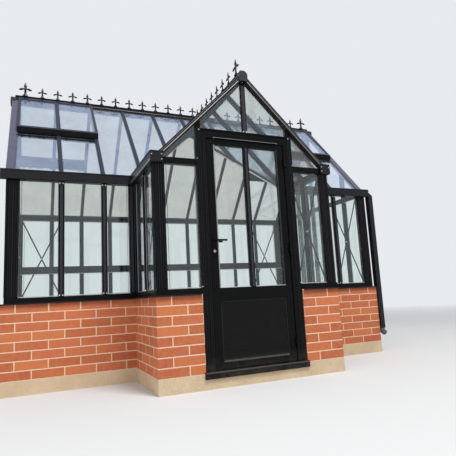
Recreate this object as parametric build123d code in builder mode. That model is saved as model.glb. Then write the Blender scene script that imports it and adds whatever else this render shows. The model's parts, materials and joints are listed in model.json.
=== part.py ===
from build123d import *
from math import atan2, cos, degrees, hypot, radians, tan
import os

# Glass greenhouse with a gabled porch, on a low brick wall. Millimetres.
# Origin: centre of the main body at ground level. X runs along the main ridge,
# Y runs from the porch to the back, Z is up.

# Masonry
main_length = 3940
main_depth = 2080
porch_width = 1700
porch_projection = 765
wall_thickness = 120
wall_height = 620
base_height = 120

# Wall frame
side_setback = 10
end_setback = 50
main_bars = 5
end_bays = 6
end_margin = 60
bar_width = 47
bar_depth = 50
bar_cap = 12
web_width = 16
corner_width = 90
sill_height = 48
eaves_underside = 1810
glass_thickness = 4
glass_gap = 0.5

# Eaves and gutter
eaves_plane = 1864
gutter_projection = 30
gutter_width = 50
gutter_lip = 1897
gutter_sheet = 3
gutter_overhang = 65
end_plate_width = 106
end_plate_top = 1905
downpipe_size = 58
downpipe_wall = 3
downpipe_gap = 5
downpipe_foot = 262
downpipe_clip = 30
downpipe_strap = 100
outlet_rise = 12
outlet_slope = 38
shoe_radius = 31
shoe_wall = 3
shoe_bend = 48
shoe_turn = 55
shoe_mouth = 22

# Roofs
main_pitch = 48
porch_pitch = 45
rafter_width = 40
rafter_depth = 42
rafter_cap = 10
cap_lap = 8
glass_lap = 5
verge_width = 66
verge_reach = 40
verge_depth = 50
verge_lip = 12
verge_lip_drop = 5
verge_overhang = 24
porch_verge_depth = 46
porch_verge_reach = 30
porch_verge_overhang = 18
ridge_half_width = 22
ridge_bead_radius = 24
valley_half_width = 18
crown_gap = 6
ridge_cap_radius = 43
ridge_cap_rise = 14
ridge_cap_height = 97
ridge_cap_front = 16
ridge_cap_hood = 30
ridge_cap_gap = 0.3

# Cresting on the ridges
crest_thickness = 6
crest_height = 28
crest_foot = 16
crest_pitch = 164
porch_crest_pitch = 149
finial_inset = 130
first_crest = 177
crest_scale = 0.74
finial_height = 163
lance_half = 15
lance_level = 118
waist_half = 11
waist_level = 98
arm_reach = 63
arm_root = 12
arm_thickness = 18
arm_droop = 16
arm_level = 88
stem_level = 40
stem_half = 11
foot_half = 30
foot_edge = 6

# Roof vents
vent_bays = 2
vent_length = 720
vent_thickness = 25
vent_side_rail = 24
vent_end_rail = 34
vent_open_angle = 1.6
vent_ridge_gap = 0.5
vent_overlap = 26
vent_flange = 6
vent_flange_gap = 5
vent_sill_width = 36
vent_stay_width = 16
vent_stay_height = 47

# Door
door_frame_width = 940
jamb_width = 43
door_over_eaves = 250
head_rail = 43
head_beam = 41
threshold_height = 14
threshold_nose = 15
threshold_drop = 40
threshold_lap = 8
door_gap = 5
door_recess = 8
leaf_thickness = 34
stile_width = 66
mid_rail_bottom = 675
mid_rail_height = 110
top_rail_height = 48
bottom_rail_height = 66
door_mullion = 44
rail_chamfer = 8
panel_thickness = 18
hinge_inset = 160
hinge_radius = 6
hinge_height = 90
hinge_sheet = 3
hinge_flap = 48
bracket_arm = 18
bracket_flap = 42
hinge_gap = 0.4
hinge_stand_off = 12
handle_height = 1175
lever_length = 110
lever_size = 14
lever_reach = 42
plate_width = 30
plate_height = 190
plate_thickness = 6
plate_drop = 32

# Inner fittings
brace_reach = 560
brace_width = 16
brace_thickness = 4
shelf_height = 1137
shelf_depth = 60
shelf_thickness = 68

# Derived places
half_length = main_length / 2
half_depth = main_depth / 2
half_porch = porch_width / 2
front_brick = -half_depth
porch_brick = front_brick - porch_projection
slab_top = base_height
wall_top = slab_top + wall_height
sill_top = wall_top + sill_height
frame_x = half_length - end_setback
frame_y = half_depth - side_setback
bay = (frame_x - end_margin) / main_bars
porch_x = half_porch - side_setback
porch_y = porch_brick + side_setback
post_height = eaves_underside - sill_top
head_underside = eaves_underside + door_over_eaves
end_bay = 2 * frame_y / end_bays
main_slope = radians(main_pitch)
porch_slope = radians(porch_pitch)
ridge_z = eaves_plane + frame_y * tan(main_slope)
porch_ridge_z = eaves_plane + porch_x * tan(porch_slope)
beam_back = bar_depth
beam_front = gutter_width - gutter_projection
glass_bottom = rafter_cap + glass_thickness
main_beam_top = eaves_plane + beam_front * tan(main_slope) - glass_bottom / cos(main_slope)
porch_beam_top = eaves_plane + beam_front * tan(porch_slope) - glass_bottom / cos(porch_slope)
beam_top = min(main_beam_top, porch_beam_top)
valley_run = porch_x * tan(porch_slope) / tan(main_slope)
half_door = door_frame_width / 2
ridge_bottom = ridge_z - verge_depth / cos(main_slope)
porch_ridge_bottom = porch_ridge_z - porch_verge_depth / cos(porch_slope)

LOW = (Align.MIN, Align.MIN)
LOW3 = (Align.MIN, Align.MIN, Align.MIN)

# Working planes of the roof surfaces: local y runs up the slope, z points outwards.
front_roof = Plane(
    origin=(0, -frame_y, eaves_plane),
    x_dir=(1, 0, 0),
    z_dir=(0, -tan(main_slope), 1),
)
back_roof = Plane(
    origin=(0, frame_y, eaves_plane),
    x_dir=(-1, 0, 0),
    z_dir=(0, tan(main_slope), 1),
)
porch_roof = Plane(
    origin=(-porch_x, porch_y, eaves_plane),
    x_dir=(0, -1, 0),
    z_dir=(-tan(porch_slope), 0, 1),
)


def valley_plane(shift):
    """Upright plane over the left valley, moved by shift towards the main roof."""
    along = Vector(porch_x, valley_run, 0).normalized()
    across = Vector(-along.Y, along.X, 0)
    foot = Vector(-porch_x, -frame_y, 0) + across * shift
    return Plane(origin=foot, x_dir=along, z_dir=across)


def roof_strip(roof, x0, x1, u0, u1, top, bottom, mode=Mode.ADD):
    """Strip in a roof between two depths, its ends plumb at u0 and u1 in from the eaves."""
    stretch = 1 / roof.z_dir.Z
    level = Plane(origin=roof.origin - Vector(0, 0, top * stretch), x_dir=roof.x_dir, z_dir=roof.z_dir)
    with BuildSketch(level) as outline:
        with Locations((x0, u0 * stretch)):
            Rectangle(x1 - x0, (u1 - u0) * stretch, align=LOW)
    extrude(outline.sketch, amount=(bottom - top) * stretch, dir=(0, 0, -1), mode=mode)


def roof_bars(roof, places, cap_start, web_start, head):
    """T bars in a roof at the given local x places: a cap over the glass, a web under it."""
    for x in places:
        roof_strip(roof, x - rafter_width / 2, x + rafter_width / 2, cap_start, head, 0, rafter_cap)
        roof_strip(roof, x - web_width / 2, x + web_width / 2, web_start, head, rafter_cap, rafter_depth)


def roof_panes(roof, spans, low, high):
    """Sheets of glass under the caps of a roof, one for each span of local x."""
    for start, stop in spans:
        roof_strip(roof, start, stop, low, high, rafter_cap, rafter_cap + glass_thickness)


def panes(surface, spans, low, high, depth):
    """Sheets of glass at a depth behind a surface, one for each span of local x."""
    with BuildSketch(surface.offset(-depth)) as sheets:
        for start, stop in spans:
            with Locations((start, low)):
                Rectangle(stop - start, high - low, align=LOW)
    extrude(sheets.sketch, amount=-glass_thickness)


def spans_between(first, bar_places, last):
    """Clear spans from one stop to another with bar webs between them."""
    starts = [first] + [x + web_width / 2 for x in bar_places]
    stops = [x - web_width / 2 for x in bar_places] + [last]
    return [(a + glass_gap, b - glass_gap) for a, b in zip(starts, stops)]


def save(piece, name):
    """Label a finished piece and write it to its own file."""
    piece.part.label = name
    export_step(piece.part, f"parts/{name}.step")
    print(name, len(piece.part.solids()), "solids")


def slab(x0, x1, y0, y1, z0, z1):
    """A squared block between two corners, added to the open part."""
    with Locations((x0, y0, z0)):
        Box(x1 - x0, y1 - y0, z1 - z0, align=LOW3)


os.makedirs("parts", exist_ok=True)

# Concrete base under the main body and under the porch
with BuildPart() as main_base:
    slab(-half_length, half_length, -half_depth, half_depth, 0, base_height)
save(main_base, "main_base")

with BuildPart() as porch_base:
    slab(-half_porch, half_porch, porch_brick, front_brick, 0, base_height)
save(porch_base, "porch_base")

# Brick walls, split where the porch and the doorway break them
with BuildPart() as long_walls:
    slab(-half_length, -half_porch, front_brick, front_brick + wall_thickness, slab_top, wall_top)
    slab(-half_porch, -half_door, porch_brick, porch_brick + wall_thickness, slab_top, wall_top)
    mirror(about=Plane.YZ)
    slab(-half_length, half_length, half_depth - wall_thickness, half_depth, slab_top, wall_top)
save(long_walls, "long_walls")

with BuildPart() as cross_walls:
    slab(
        -half_length,
        -half_length + wall_thickness,
        front_brick + wall_thickness,
        half_depth - wall_thickness,
        slab_top,
        wall_top,
    )
    slab(
        -half_porch,
        -half_porch + wall_thickness,
        porch_brick + wall_thickness,
        front_brick + wall_thickness,
        slab_top,
        wall_top,
    )
    mirror(about=Plane.YZ)
save(cross_walls, "cross_walls")

# Sills: flat aluminium sections on top of the brick
sill_depth = bar_depth + side_setback
with BuildPart() as long_sills:
    slab(-frame_x, -porch_x, front_brick, front_brick + sill_depth, wall_top, sill_top)
    slab(-half_porch, -half_door, porch_brick, porch_brick + sill_depth, wall_top, sill_top)
    mirror(about=Plane.YZ)
    slab(-frame_x, frame_x, half_depth - sill_depth, half_depth, wall_top, sill_top)
save(long_sills, "long_sills")

with BuildPart() as cross_sills:
    slab(
        -frame_x,
        -frame_x + sill_depth,
        front_brick + sill_depth,
        half_depth - sill_depth,
        wall_top,
        sill_top,
    )
    slab(
        -porch_x,
        -porch_x + bar_depth,
        porch_brick + sill_depth,
        front_brick + sill_depth,
        wall_top,
        sill_top,
    )
    mirror(about=Plane.YZ)
save(cross_sills, "cross_sills")

# Corner posts: angle sections, with wings where the porch joins the front wall
with BuildPart() as corner_posts:
    with BuildSketch(Plane.XY.offset(sill_top)):
        with Locations((-frame_x, -frame_y)):
            Rectangle(corner_width, bar_depth, align=LOW)
            Rectangle(bar_depth, corner_width, align=LOW)
        with Locations((-frame_x, frame_y)):
            Rectangle(corner_width, bar_depth, align=(Align.MIN, Align.MAX))
            Rectangle(bar_depth, corner_width, align=(Align.MIN, Align.MAX))
        with Locations((-porch_x, porch_y)):
            Rectangle(corner_width, bar_depth, align=LOW)
            Rectangle(bar_depth, corner_width, align=LOW)
        with Locations((-porch_x, -frame_y)):
            Rectangle(bar_depth, bar_depth, align=LOW)
            Rectangle(bar_width, bar_depth, align=(Align.MAX, Align.MIN))
            Rectangle(bar_depth, bar_width, align=(Align.MIN, Align.MAX))
    extrude(amount=post_height)
    mirror(about=Plane.YZ)
save(corner_posts, "corner_posts")


def wall_bars(places, foot, height):
    """Upright T bars in a wall: places are (x, y, turn) of the cap's outer face."""
    with BuildSketch(Plane.XY.offset(foot)) as section:
        with Locations(*[Location((x, y), turn) for x, y, turn in places]):
            Rectangle(bar_width, bar_cap, align=(Align.CENTER, Align.MIN))
            Rectangle(web_width, bar_depth, align=(Align.CENTER, Align.MIN))
    extrude(section.sketch, amount=height)


# Upright bars between the panes, one bay apart
back_places = [k * bay for k in range(-main_bars + 1, main_bars)]
front_places = [x for x in back_places if abs(x) > porch_x + bay / 2]
end_places = [k * end_bay for k in range(-end_bays // 2 + 1, end_bays // 2)]
porch_mid = (porch_y - frame_y) / 2

with BuildPart() as long_mullions:
    wall_bars([(x, -frame_y, 0) for x in front_places], sill_top, post_height)
    wall_bars([(x, frame_y, 180) for x in back_places], sill_top, post_height)
save(long_mullions, "long_mullions")

with BuildPart() as cross_mullions:
    wall_bars([(-frame_x, y, -90) for y in end_places], sill_top, post_height)
    wall_bars([(-porch_x, porch_mid, -90)], sill_top, post_height)
    mirror(about=Plane.YZ)
save(cross_mullions, "cross_mullions")

# Eaves beams along the walls
with BuildPart() as long_beams:
    slab(
        -frame_x,
        -porch_x + beam_front,
        -frame_y + beam_front,
        -frame_y + beam_back,
        eaves_underside,
        beam_top,
    )
    mirror(about=Plane.YZ)
    slab(-frame_x, frame_x, frame_y - beam_back, frame_y - beam_front, eaves_underside, beam_top)
save(long_beams, "long_beams")

with BuildPart() as cross_beams:
    slab(
        -frame_x + beam_front,
        -frame_x + beam_back,
        -frame_y + beam_back,
        frame_y - beam_back,
        eaves_underside,
        beam_top,
    )
    slab(
        -porch_x + beam_front,
        -porch_x + beam_back,
        porch_y + beam_back,
        -frame_y + beam_back,
        eaves_underside,
        beam_top,
    )
    mirror(about=Plane.YZ)
save(cross_beams, "cross_beams")

# Gutters: open channels in front of the beams, and a square downpipe at the right corner
gutter_end = frame_x + gutter_overhang
gutter_depth = gutter_lip - eaves_underside


def gutter(start, length, end_plate):
    """An open channel along the front eaves, closed at its start by a plate of this length."""
    corner = (-frame_y - gutter_projection, eaves_underside)
    with BuildSketch(Plane.YZ.offset(start)) as channel:
        with Locations(corner):
            Rectangle(gutter_sheet, gutter_depth, align=LOW)
            Rectangle(gutter_width, gutter_sheet, align=LOW)
    extrude(channel.sketch, amount=length)
    with BuildSketch(Plane.YZ.offset(start)) as cover:
        with Locations(corner):
            Rectangle(gutter_width, gutter_depth, align=LOW)
    extrude(cover.sketch, amount=end_plate)


with BuildPart() as main_gutters:
    gutter(-gutter_end, gutter_end, gutter_sheet)
    mirror(about=Plane.YZ)
    mirror(about=Plane.XZ, mode=Mode.REPLACE)
    gutter(-gutter_end, gutter_end - porch_x - gutter_projection, gutter_sheet)
    mirror(about=Plane.YZ)
save(main_gutters, "main_gutters")

with BuildPart() as porch_gutters:
    with BuildSketch(Plane.XZ.offset(frame_y + gutter_projection)):
        with Locations((-porch_x - gutter_projection, eaves_underside)):
            Rectangle(gutter_sheet, gutter_lip - eaves_underside, align=LOW)
            Rectangle(gutter_width, gutter_sheet, align=LOW)
    extrude(amount=porch_verge_overhang - porch_y - frame_y - gutter_projection)
    slab(
        -porch_x - gutter_projection,
        -porch_x + beam_front,
        -frame_y - gutter_projection,
        -frame_y + beam_front,
        eaves_underside,
        eaves_underside + gutter_sheet,
    )
    slab(
        -porch_x - gutter_projection,
        -porch_x - gutter_projection + end_plate_width,
        porch_y - porch_verge_overhang - gutter_sheet,
        porch_y - porch_verge_overhang,
        eaves_underside,
        end_plate_top,
    )
    mirror(about=Plane.YZ)
save(porch_gutters, "porch_gutters")

pipe_x = half_length + downpipe_gap + downpipe_size / 2
pipe_y = -frame_y - gutter_projection + downpipe_size / 2
pipe_bore = downpipe_size - 2 * downpipe_wall
with BuildPart() as downpipe:
    with BuildSketch(Plane.XY.offset(downpipe_foot)):
        with Locations((pipe_x, pipe_y)):
            Rectangle(downpipe_size, downpipe_size)
            Rectangle(pipe_bore, pipe_bore, mode=Mode.SUBTRACT)
    extrude(amount=eaves_underside - downpipe_foot)
    with BuildSketch(Plane.XZ.offset(frame_y + gutter_projection)):
        with BuildLine():
            Polyline(
                (gutter_end, eaves_underside),
                (pipe_x + downpipe_size / 2, eaves_underside),
                (pipe_x + downpipe_size / 2, eaves_underside + outlet_rise),
                (gutter_end, eaves_underside + outlet_rise + outlet_slope),
                close=True,
            )
        make_face()
    extrude(amount=-downpipe_size)
    for z in (wall_top - downpipe_clip, downpipe_foot):
        slab(
            half_length,
            half_length + downpipe_gap,
            front_brick,
            front_brick + downpipe_strap,
            z,
            z + downpipe_clip,
        )
save(downpipe, "downpipe")

# Round shoe at the foot of the pipe, turned away from the wall
shoe_top = downpipe_foot
with BuildPart() as downpipe_shoe:
    with BuildLine(Plane.XZ.offset(-pipe_y)) as route:
        down = Line((pipe_x, shoe_top), (pipe_x, shoe_top - shoe_wall))
        bend = JernArc(start=down @ 1, tangent=down % 1, radius=shoe_bend, arc_size=shoe_turn)
        Line(bend @ 1, bend @ 1 + (bend % 1) * shoe_mouth)
    with BuildSketch(Plane(origin=(pipe_x, pipe_y, shoe_top), z_dir=(0, 0, -1))):
        Circle(shoe_radius)
        Circle(shoe_radius - shoe_wall, mode=Mode.SUBTRACT)
    sweep(path=route.line)
save(downpipe_shoe, "downpipe_shoe")

# Main roof: distances are level, in from the outer face of the wall frame
cap_foot = beam_front - cap_lap
glass_foot = beam_front - glass_lap
main_head = frame_y - ridge_half_width
apex_y = -frame_y + valley_run
verge_x = frame_x + verge_overhang
verge_edge = verge_width - verge_x
left_rafters = [-k * bay for k in range(main_bars - 1, 0, -1)]
vent_foot = main_head - vent_length * cos(main_slope)

with BuildPart() as front_rafters:
    roof_bars(front_roof, left_rafters, cap_foot, beam_back, main_head)
    split(bisect_by=valley_plane(valley_half_width), keep=Keep.TOP)
    mirror(about=Plane.YZ)
    roof_bars(front_roof, [0], valley_run + crown_gap, valley_run, main_head)
save(front_rafters, "front_rafters")

with BuildPart() as back_rafters:
    roof_bars(back_roof, back_places, cap_foot, beam_back, main_head)
save(back_rafters, "back_rafters")

# Verges: edge bars over the end walls, seated on the beams
with BuildPart() as main_verges:
    roof_strip(front_roof, -verge_x, -frame_x + verge_reach, beam_back, main_head, rafter_cap, verge_depth)
    split(bisect_by=Plane.XY.offset(beam_top), keep=Keep.TOP)
    roof_strip(front_roof, -verge_x, verge_edge, cap_foot, main_head, 0, rafter_cap)
    roof_strip(
        front_roof,
        verge_edge,
        verge_edge + verge_lip,
        cap_foot,
        main_head,
        verge_lip_drop,
        rafter_cap,
    )
    mirror(about=Plane.YZ)
    mirror(about=Plane.XZ)
save(main_verges, "main_verges")


def ridge_section(level, foot, slope):
    """End view of a ridge: a block between the rafter heads with a round bead on top."""
    shoulder = level - ridge_half_width * tan(slope)
    with Locations((0, foot)):
        Rectangle(2 * ridge_half_width, shoulder - foot, align=(Align.CENTER, Align.MIN))
    with Locations((0, level - ridge_bead_radius / 2)):
        Circle(ridge_bead_radius)


with BuildPart() as main_ridge:
    with BuildSketch(Plane.YZ.offset(-verge_x)):
        ridge_section(ridge_z, ridge_bottom, main_slope)
    extrude(amount=2 * verge_x)
save(main_ridge, "main_ridge")

# Valleys between the porch roof and the main roof
valley_flat = Vector(porch_x, valley_run, 0)
valley_line = Vector(porch_x, valley_run, porch_ridge_z - eaves_plane)
valley_ahead = valley_flat.normalized()
valley_across = Vector(-valley_ahead.Y, valley_ahead.X, 0)
valley_start = beam_back * (valley_ahead.X + valley_ahead.Y)
valley_foot = Vector(-porch_x, -frame_y, eaves_plane)
with BuildPart() as valley_bars:
    with BuildSketch(Plane(origin=valley_foot, x_dir=valley_across, z_dir=valley_line)):
        Rectangle(2 * valley_half_width, rafter_depth, align=(Align.CENTER, Align.MAX))
    extrude(amount=valley_line.length)
    split(
        bisect_by=Plane(
            origin=valley_foot + valley_ahead * valley_start,
            x_dir=valley_across,
            z_dir=valley_ahead,
        ),
        keep=Keep.TOP,
    )
    split(bisect_by=Plane.YZ.offset(-ridge_bead_radius), keep=Keep.BOTTOM)
    mirror(about=Plane.YZ)
save(valley_bars, "valley_bars")

# Porch roof
porch_head = porch_x - ridge_half_width
porch_rafters_at = [porch_y - porch_mid, porch_y + frame_y, porch_y + frame_y - bay]

with BuildPart() as porch_rafters:
    roof_bars(porch_roof, porch_rafters_at, cap_foot, beam_back, porch_head)
    split(bisect_by=valley_plane(-valley_half_width), keep=Keep.BOTTOM)
    mirror(about=Plane.YZ)
save(porch_rafters, "porch_rafters")

with BuildPart() as porch_verges:
    roof_strip(
        porch_roof,
        -porch_verge_reach,
        porch_verge_overhang,
        beam_back,
        porch_head,
        rafter_cap,
        porch_verge_depth,
    )
    split(bisect_by=Plane.XY.offset(beam_top), keep=Keep.TOP)
    roof_strip(
        porch_roof,
        -porch_verge_reach - verge_lip,
        porch_verge_overhang,
        cap_foot,
        porch_head,
        0,
        rafter_cap,
    )
    mirror(about=Plane.YZ)
save(porch_verges, "porch_verges")

with BuildPart() as porch_ridge:
    with BuildSketch(Plane.XZ.offset(-apex_y)):
        ridge_section(porch_ridge_z, porch_ridge_bottom, porch_slope)
    extrude(amount=apex_y - porch_y + porch_verge_overhang)
save(porch_ridge, "porch_ridge")

# Caps on the three ridge ends: a plate with a round head, and a hood back over the bead
cap_drop = ridge_cap_height - ridge_cap_radius


def ridge_shield(level):
    """End view of a ridge cap: a round head on straight sides."""
    with Locations((0, level + ridge_cap_rise - ridge_cap_radius)):
        Circle(ridge_cap_radius)
        Rectangle(2 * ridge_cap_radius, cap_drop, align=(Align.CENTER, Align.MAX))


def ridge_cap(outer, level, slope):
    """A ridge cap whose plate stands on the outer plane of the verges."""
    fall = 2 * ridge_cap_radius * tan(slope)
    with BuildSketch(outer) as plate:
        ridge_shield(level)
    extrude(plate.sketch, amount=ridge_cap_front)
    with BuildSketch(outer) as hood:
        ridge_shield(level)
        with BuildLine():
            Polyline(
                (-2 * ridge_cap_radius, level - fall),
                (0, level),
                (2 * ridge_cap_radius, level - fall),
                close=True,
            )
        make_face(mode=Mode.SUBTRACT)
        with Locations((0, level - ridge_bead_radius / 2)):
            Circle(ridge_bead_radius + ridge_cap_gap, mode=Mode.SUBTRACT)
    extrude(hood.sketch, amount=-ridge_cap_hood)


with BuildPart() as ridge_caps:
    ridge_cap(Plane.YZ.offset(verge_x), ridge_z, main_slope)
    mirror(about=Plane.YZ)
    ridge_cap(Plane.XZ.offset(-porch_y + porch_verge_overhang), porch_ridge_z, porch_slope)
save(ridge_caps, "ridge_caps")

# Cresting: a low strip on each ridge bead, set with finials, and a tall finial near each end
arm_tip = arm_level - arm_droop
with BuildSketch() as finial:
    with BuildLine():
        Line((0, finial_height), (lance_half, lance_level))
        Line((lance_half, lance_level), (waist_half, waist_level))
        Line((waist_half, waist_level), (waist_half, arm_level))
        ThreePointArc(
            (waist_half, arm_level),
            (arm_reach * 2 / 3, arm_level - arm_droop / 4),
            (arm_reach, arm_tip),
        )
        Line((arm_reach, arm_tip), (arm_reach - arm_thickness, arm_tip - arm_thickness / 2))
        ThreePointArc(
            (arm_reach - arm_thickness, arm_tip - arm_thickness / 2),
            (arm_reach / 2, arm_level - arm_root - arm_droop / 4),
            (stem_half, arm_level - arm_root),
        )
        Line((stem_half, arm_level - arm_root), (stem_half, stem_level))
        ThreePointArc(
            (stem_half, stem_level),
            ((stem_half + foot_half) / 2, stem_level / 3),
            (foot_half, foot_edge),
        )
        Line((foot_half, foot_edge), (foot_half, 0))
        Line((foot_half, 0), (0, 0))
        mirror(about=Plane.YZ)
    make_face()
small_finial = scale(finial.sketch, by=crest_scale, mode=Mode.PRIVATE)


def cresting(face, across, level, start, stop, tall, small):
    """A strip along a ridge from start to stop, with finials at the tall and small places."""
    top = level + ridge_bead_radius / 2
    with BuildSketch(across) as strip:
        with Locations((0, top)):
            Rectangle(crest_foot, crest_foot / 2)
            Rectangle(crest_thickness, crest_height, align=(Align.CENTER, Align.MIN))
        with Locations((0, level - ridge_bead_radius / 2)):
            Circle(ridge_bead_radius, mode=Mode.SUBTRACT)
    extrude(strip.sketch, amount=stop - start)
    with BuildSketch(face.offset(-crest_thickness / 2)) as row:
        with Locations(*[(x, top + crest_height) for x in tall]):
            add(finial.sketch)
        with Locations(*[(x, top + crest_height) for x in small]):
            add(small_finial)
    extrude(row.sketch, amount=crest_thickness)


crest_end = verge_x - ridge_cap_hood
tall_x = verge_x - finial_inset
crest_gaps = round(2 * (tall_x - first_crest) / crest_pitch)
crest_step = 2 * (tall_x - first_crest) / crest_gaps
crest_places = [first_crest - tall_x + k * crest_step for k in range(crest_gaps + 1)]
porch_front = porch_y - porch_verge_overhang
porch_tall = porch_front + finial_inset
porch_gaps = int((apex_y - porch_tall - first_crest) / porch_crest_pitch)
porch_places = [porch_tall + first_crest + k * porch_crest_pitch for k in range(porch_gaps + 1)]
with BuildPart() as ridge_cresting:
    cresting(
        Plane.XZ,
        Plane.YZ.offset(-crest_end),
        ridge_z,
        -crest_end,
        crest_end,
        [-tall_x, tall_x],
        crest_places,
    )
    cresting(
        Plane.YZ,
        Plane.XZ.offset(-apex_y),
        porch_ridge_z,
        porch_front + ridge_cap_hood,
        apex_y,
        [porch_tall],
        porch_places,
    )
save(ridge_cresting, "ridge_cresting")

# Porch front: posts beside the door up to the roof, and the frame the door closes in
door_clear = half_door - bar_width - jamb_width
door_beam_top = head_underside + head_rail + head_beam
door_foot = slab_top + threshold_height
porch_underside = porch_roof.offset(-porch_verge_depth)
with BuildPart() as door_posts:
    slab(-half_door, -half_door + bar_width, porch_y, porch_y + bar_depth, door_foot, porch_ridge_z)
    split(bisect_by=porch_underside, keep=Keep.BOTTOM)
    mirror(about=Plane.YZ)
save(door_posts, "door_posts")

porch_face = Plane(origin=(0, porch_y, 0), x_dir=(1, 0, 0), z_dir=(0, -1, 0))
with BuildPart() as door_frame:
    with BuildSketch(porch_face):
        with Locations((-half_door + bar_width, door_foot)):
            Rectangle(2 * (half_door - bar_width), door_beam_top - door_foot, align=LOW)
        with Locations((-door_clear, door_foot)):
            Rectangle(2 * door_clear, head_underside - door_foot, align=LOW, mode=Mode.SUBTRACT)
    extrude(amount=-bar_depth)
    slab(-half_door, half_door, porch_brick, porch_y + bar_depth, slab_top, door_foot)
    slab(
        -half_door - threshold_lap,
        half_door + threshold_lap,
        porch_brick - threshold_nose,
        porch_brick,
        slab_top - threshold_drop,
        door_foot,
    )
save(door_frame, "door_frame")

with BuildPart() as porch_transoms:
    slab(-porch_x + beam_front, -half_door, porch_y, porch_y + bar_depth, eaves_underside, beam_top)
    mirror(about=Plane.YZ)
save(porch_transoms, "porch_transoms")

# Upright bars in the three gables
porch_bar_top = porch_ridge_bottom - bar_width / 2 * tan(porch_slope)
with BuildPart() as gable_mullions:
    wall_bars([(-frame_x, y, -90) for y in end_places], beam_top, ridge_z - beam_top)
    split(bisect_by=front_roof.offset(-verge_depth), keep=Keep.BOTTOM)
    split(bisect_by=back_roof.offset(-verge_depth), keep=Keep.BOTTOM)
    mirror(about=Plane.YZ)
    wall_bars([(0, porch_y, 0)], door_beam_top, porch_bar_top - door_beam_top)
save(gable_mullions, "gable_mullions")

# Glass in the walls
front_face = Plane(origin=(0, -frame_y, 0), x_dir=(1, 0, 0), z_dir=(0, -1, 0))
back_face = Plane(origin=(0, frame_y, 0), x_dir=(-1, 0, 0), z_dir=(0, 1, 0))
end_face = Plane(origin=(-frame_x, 0, 0), x_dir=(0, -1, 0), z_dir=(-1, 0, 0))
porch_side_face = Plane(origin=(-porch_x, 0, 0), x_dir=(0, -1, 0), z_dir=(-1, 0, 0))
pane_low = sill_top + glass_gap
pane_high = eaves_underside - glass_gap
left_front = [x for x in front_places if x < 0]
corner_x = frame_x - corner_width
corner_y = frame_y - corner_width

wing_spans = spans_between(-corner_x, left_front, -porch_x - bar_width)
porch_front_spans = spans_between(-porch_x + corner_width, [], -half_door)
back_wall_spans = spans_between(-corner_x, back_places, corner_x)
with BuildPart() as long_wall_glass:
    panes(front_face, wing_spans, pane_low, pane_high, bar_cap)
    panes(porch_face, porch_front_spans, pane_low, pane_high, bar_cap)
    mirror(about=Plane.YZ)
    panes(back_face, back_wall_spans, pane_low, pane_high, bar_cap)
save(long_wall_glass, "long_wall_glass")

porch_side_spans = spans_between(frame_y + bar_width, [-porch_mid], -porch_y - corner_width)
with BuildPart() as cross_wall_glass:
    panes(end_face, spans_between(-corner_y, end_places, corner_y), pane_low, pane_high, bar_cap)
    panes(porch_side_face, porch_side_spans, pane_low, pane_high, bar_cap)
    mirror(about=Plane.YZ)
save(cross_wall_glass, "cross_wall_glass")

# Glass in the gables
glass_under_verge = verge_depth + glass_gap
glass_under_porch = porch_verge_depth + glass_gap
gable_low = beam_top + glass_gap
door_light_low = door_beam_top + glass_gap
with BuildPart() as gable_glass:
    panes(end_face, spans_between(-frame_y, end_places, frame_y), gable_low, ridge_z, bar_cap)
    split(bisect_by=front_roof.offset(-glass_under_verge), keep=Keep.BOTTOM)
    split(bisect_by=back_roof.offset(-glass_under_verge), keep=Keep.BOTTOM)
    mirror(about=Plane.YZ)
save(gable_glass, "gable_glass")

with BuildPart() as porch_gable_glass:
    panes(porch_face, spans_between(-porch_x, [], -half_door), gable_low, porch_ridge_z, bar_cap)
    panes(
        porch_face,
        spans_between(-half_door + bar_width, [], -web_width / 2),
        door_light_low,
        porch_ridge_z,
        bar_cap,
    )
    split(bisect_by=porch_roof.offset(-glass_under_porch), keep=Keep.BOTTOM)
    mirror(about=Plane.YZ)
save(porch_gable_glass, "porch_gable_glass")

# Glass in the roofs: the bays under a vent have a lower pane only
verge_inner = frame_x - verge_reach
pane_head = main_head - glass_gap
vent_pane_head = vent_foot - web_width / 2 - glass_gap
left_spans = spans_between(-verge_inner, left_rafters + [0], 0)[:main_bars]
back_spans = spans_between(-verge_inner, back_places, verge_inner)
with BuildPart() as front_roof_glass:
    roof_panes(front_roof, left_spans[:vent_bays], glass_foot, vent_pane_head)
    roof_panes(front_roof, left_spans[vent_bays:], glass_foot, pane_head)
    split(bisect_by=valley_plane(valley_half_width + glass_gap), keep=Keep.TOP)
    mirror(about=Plane.YZ)
save(front_roof_glass, "front_roof_glass")

with BuildPart() as back_roof_glass:
    roof_panes(back_roof, back_spans[:vent_bays], glass_foot, vent_pane_head)
    roof_panes(back_roof, back_spans[vent_bays:-vent_bays], glass_foot, pane_head)
    roof_panes(back_roof, back_spans[-vent_bays:], glass_foot, vent_pane_head)
save(back_roof_glass, "back_roof_glass")

porch_stops = porch_rafters_at[::-1]
porch_spans = spans_between(porch_y - apex_y, porch_stops, -porch_verge_reach)
with BuildPart() as porch_roof_glass:
    roof_panes(porch_roof, porch_spans, glass_foot, porch_head - glass_gap)
    split(bisect_by=valley_plane(-valley_half_width - glass_gap), keep=Keep.BOTTOM)
    mirror(about=Plane.YZ)
save(porch_roof_glass, "porch_roof_glass")

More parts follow.
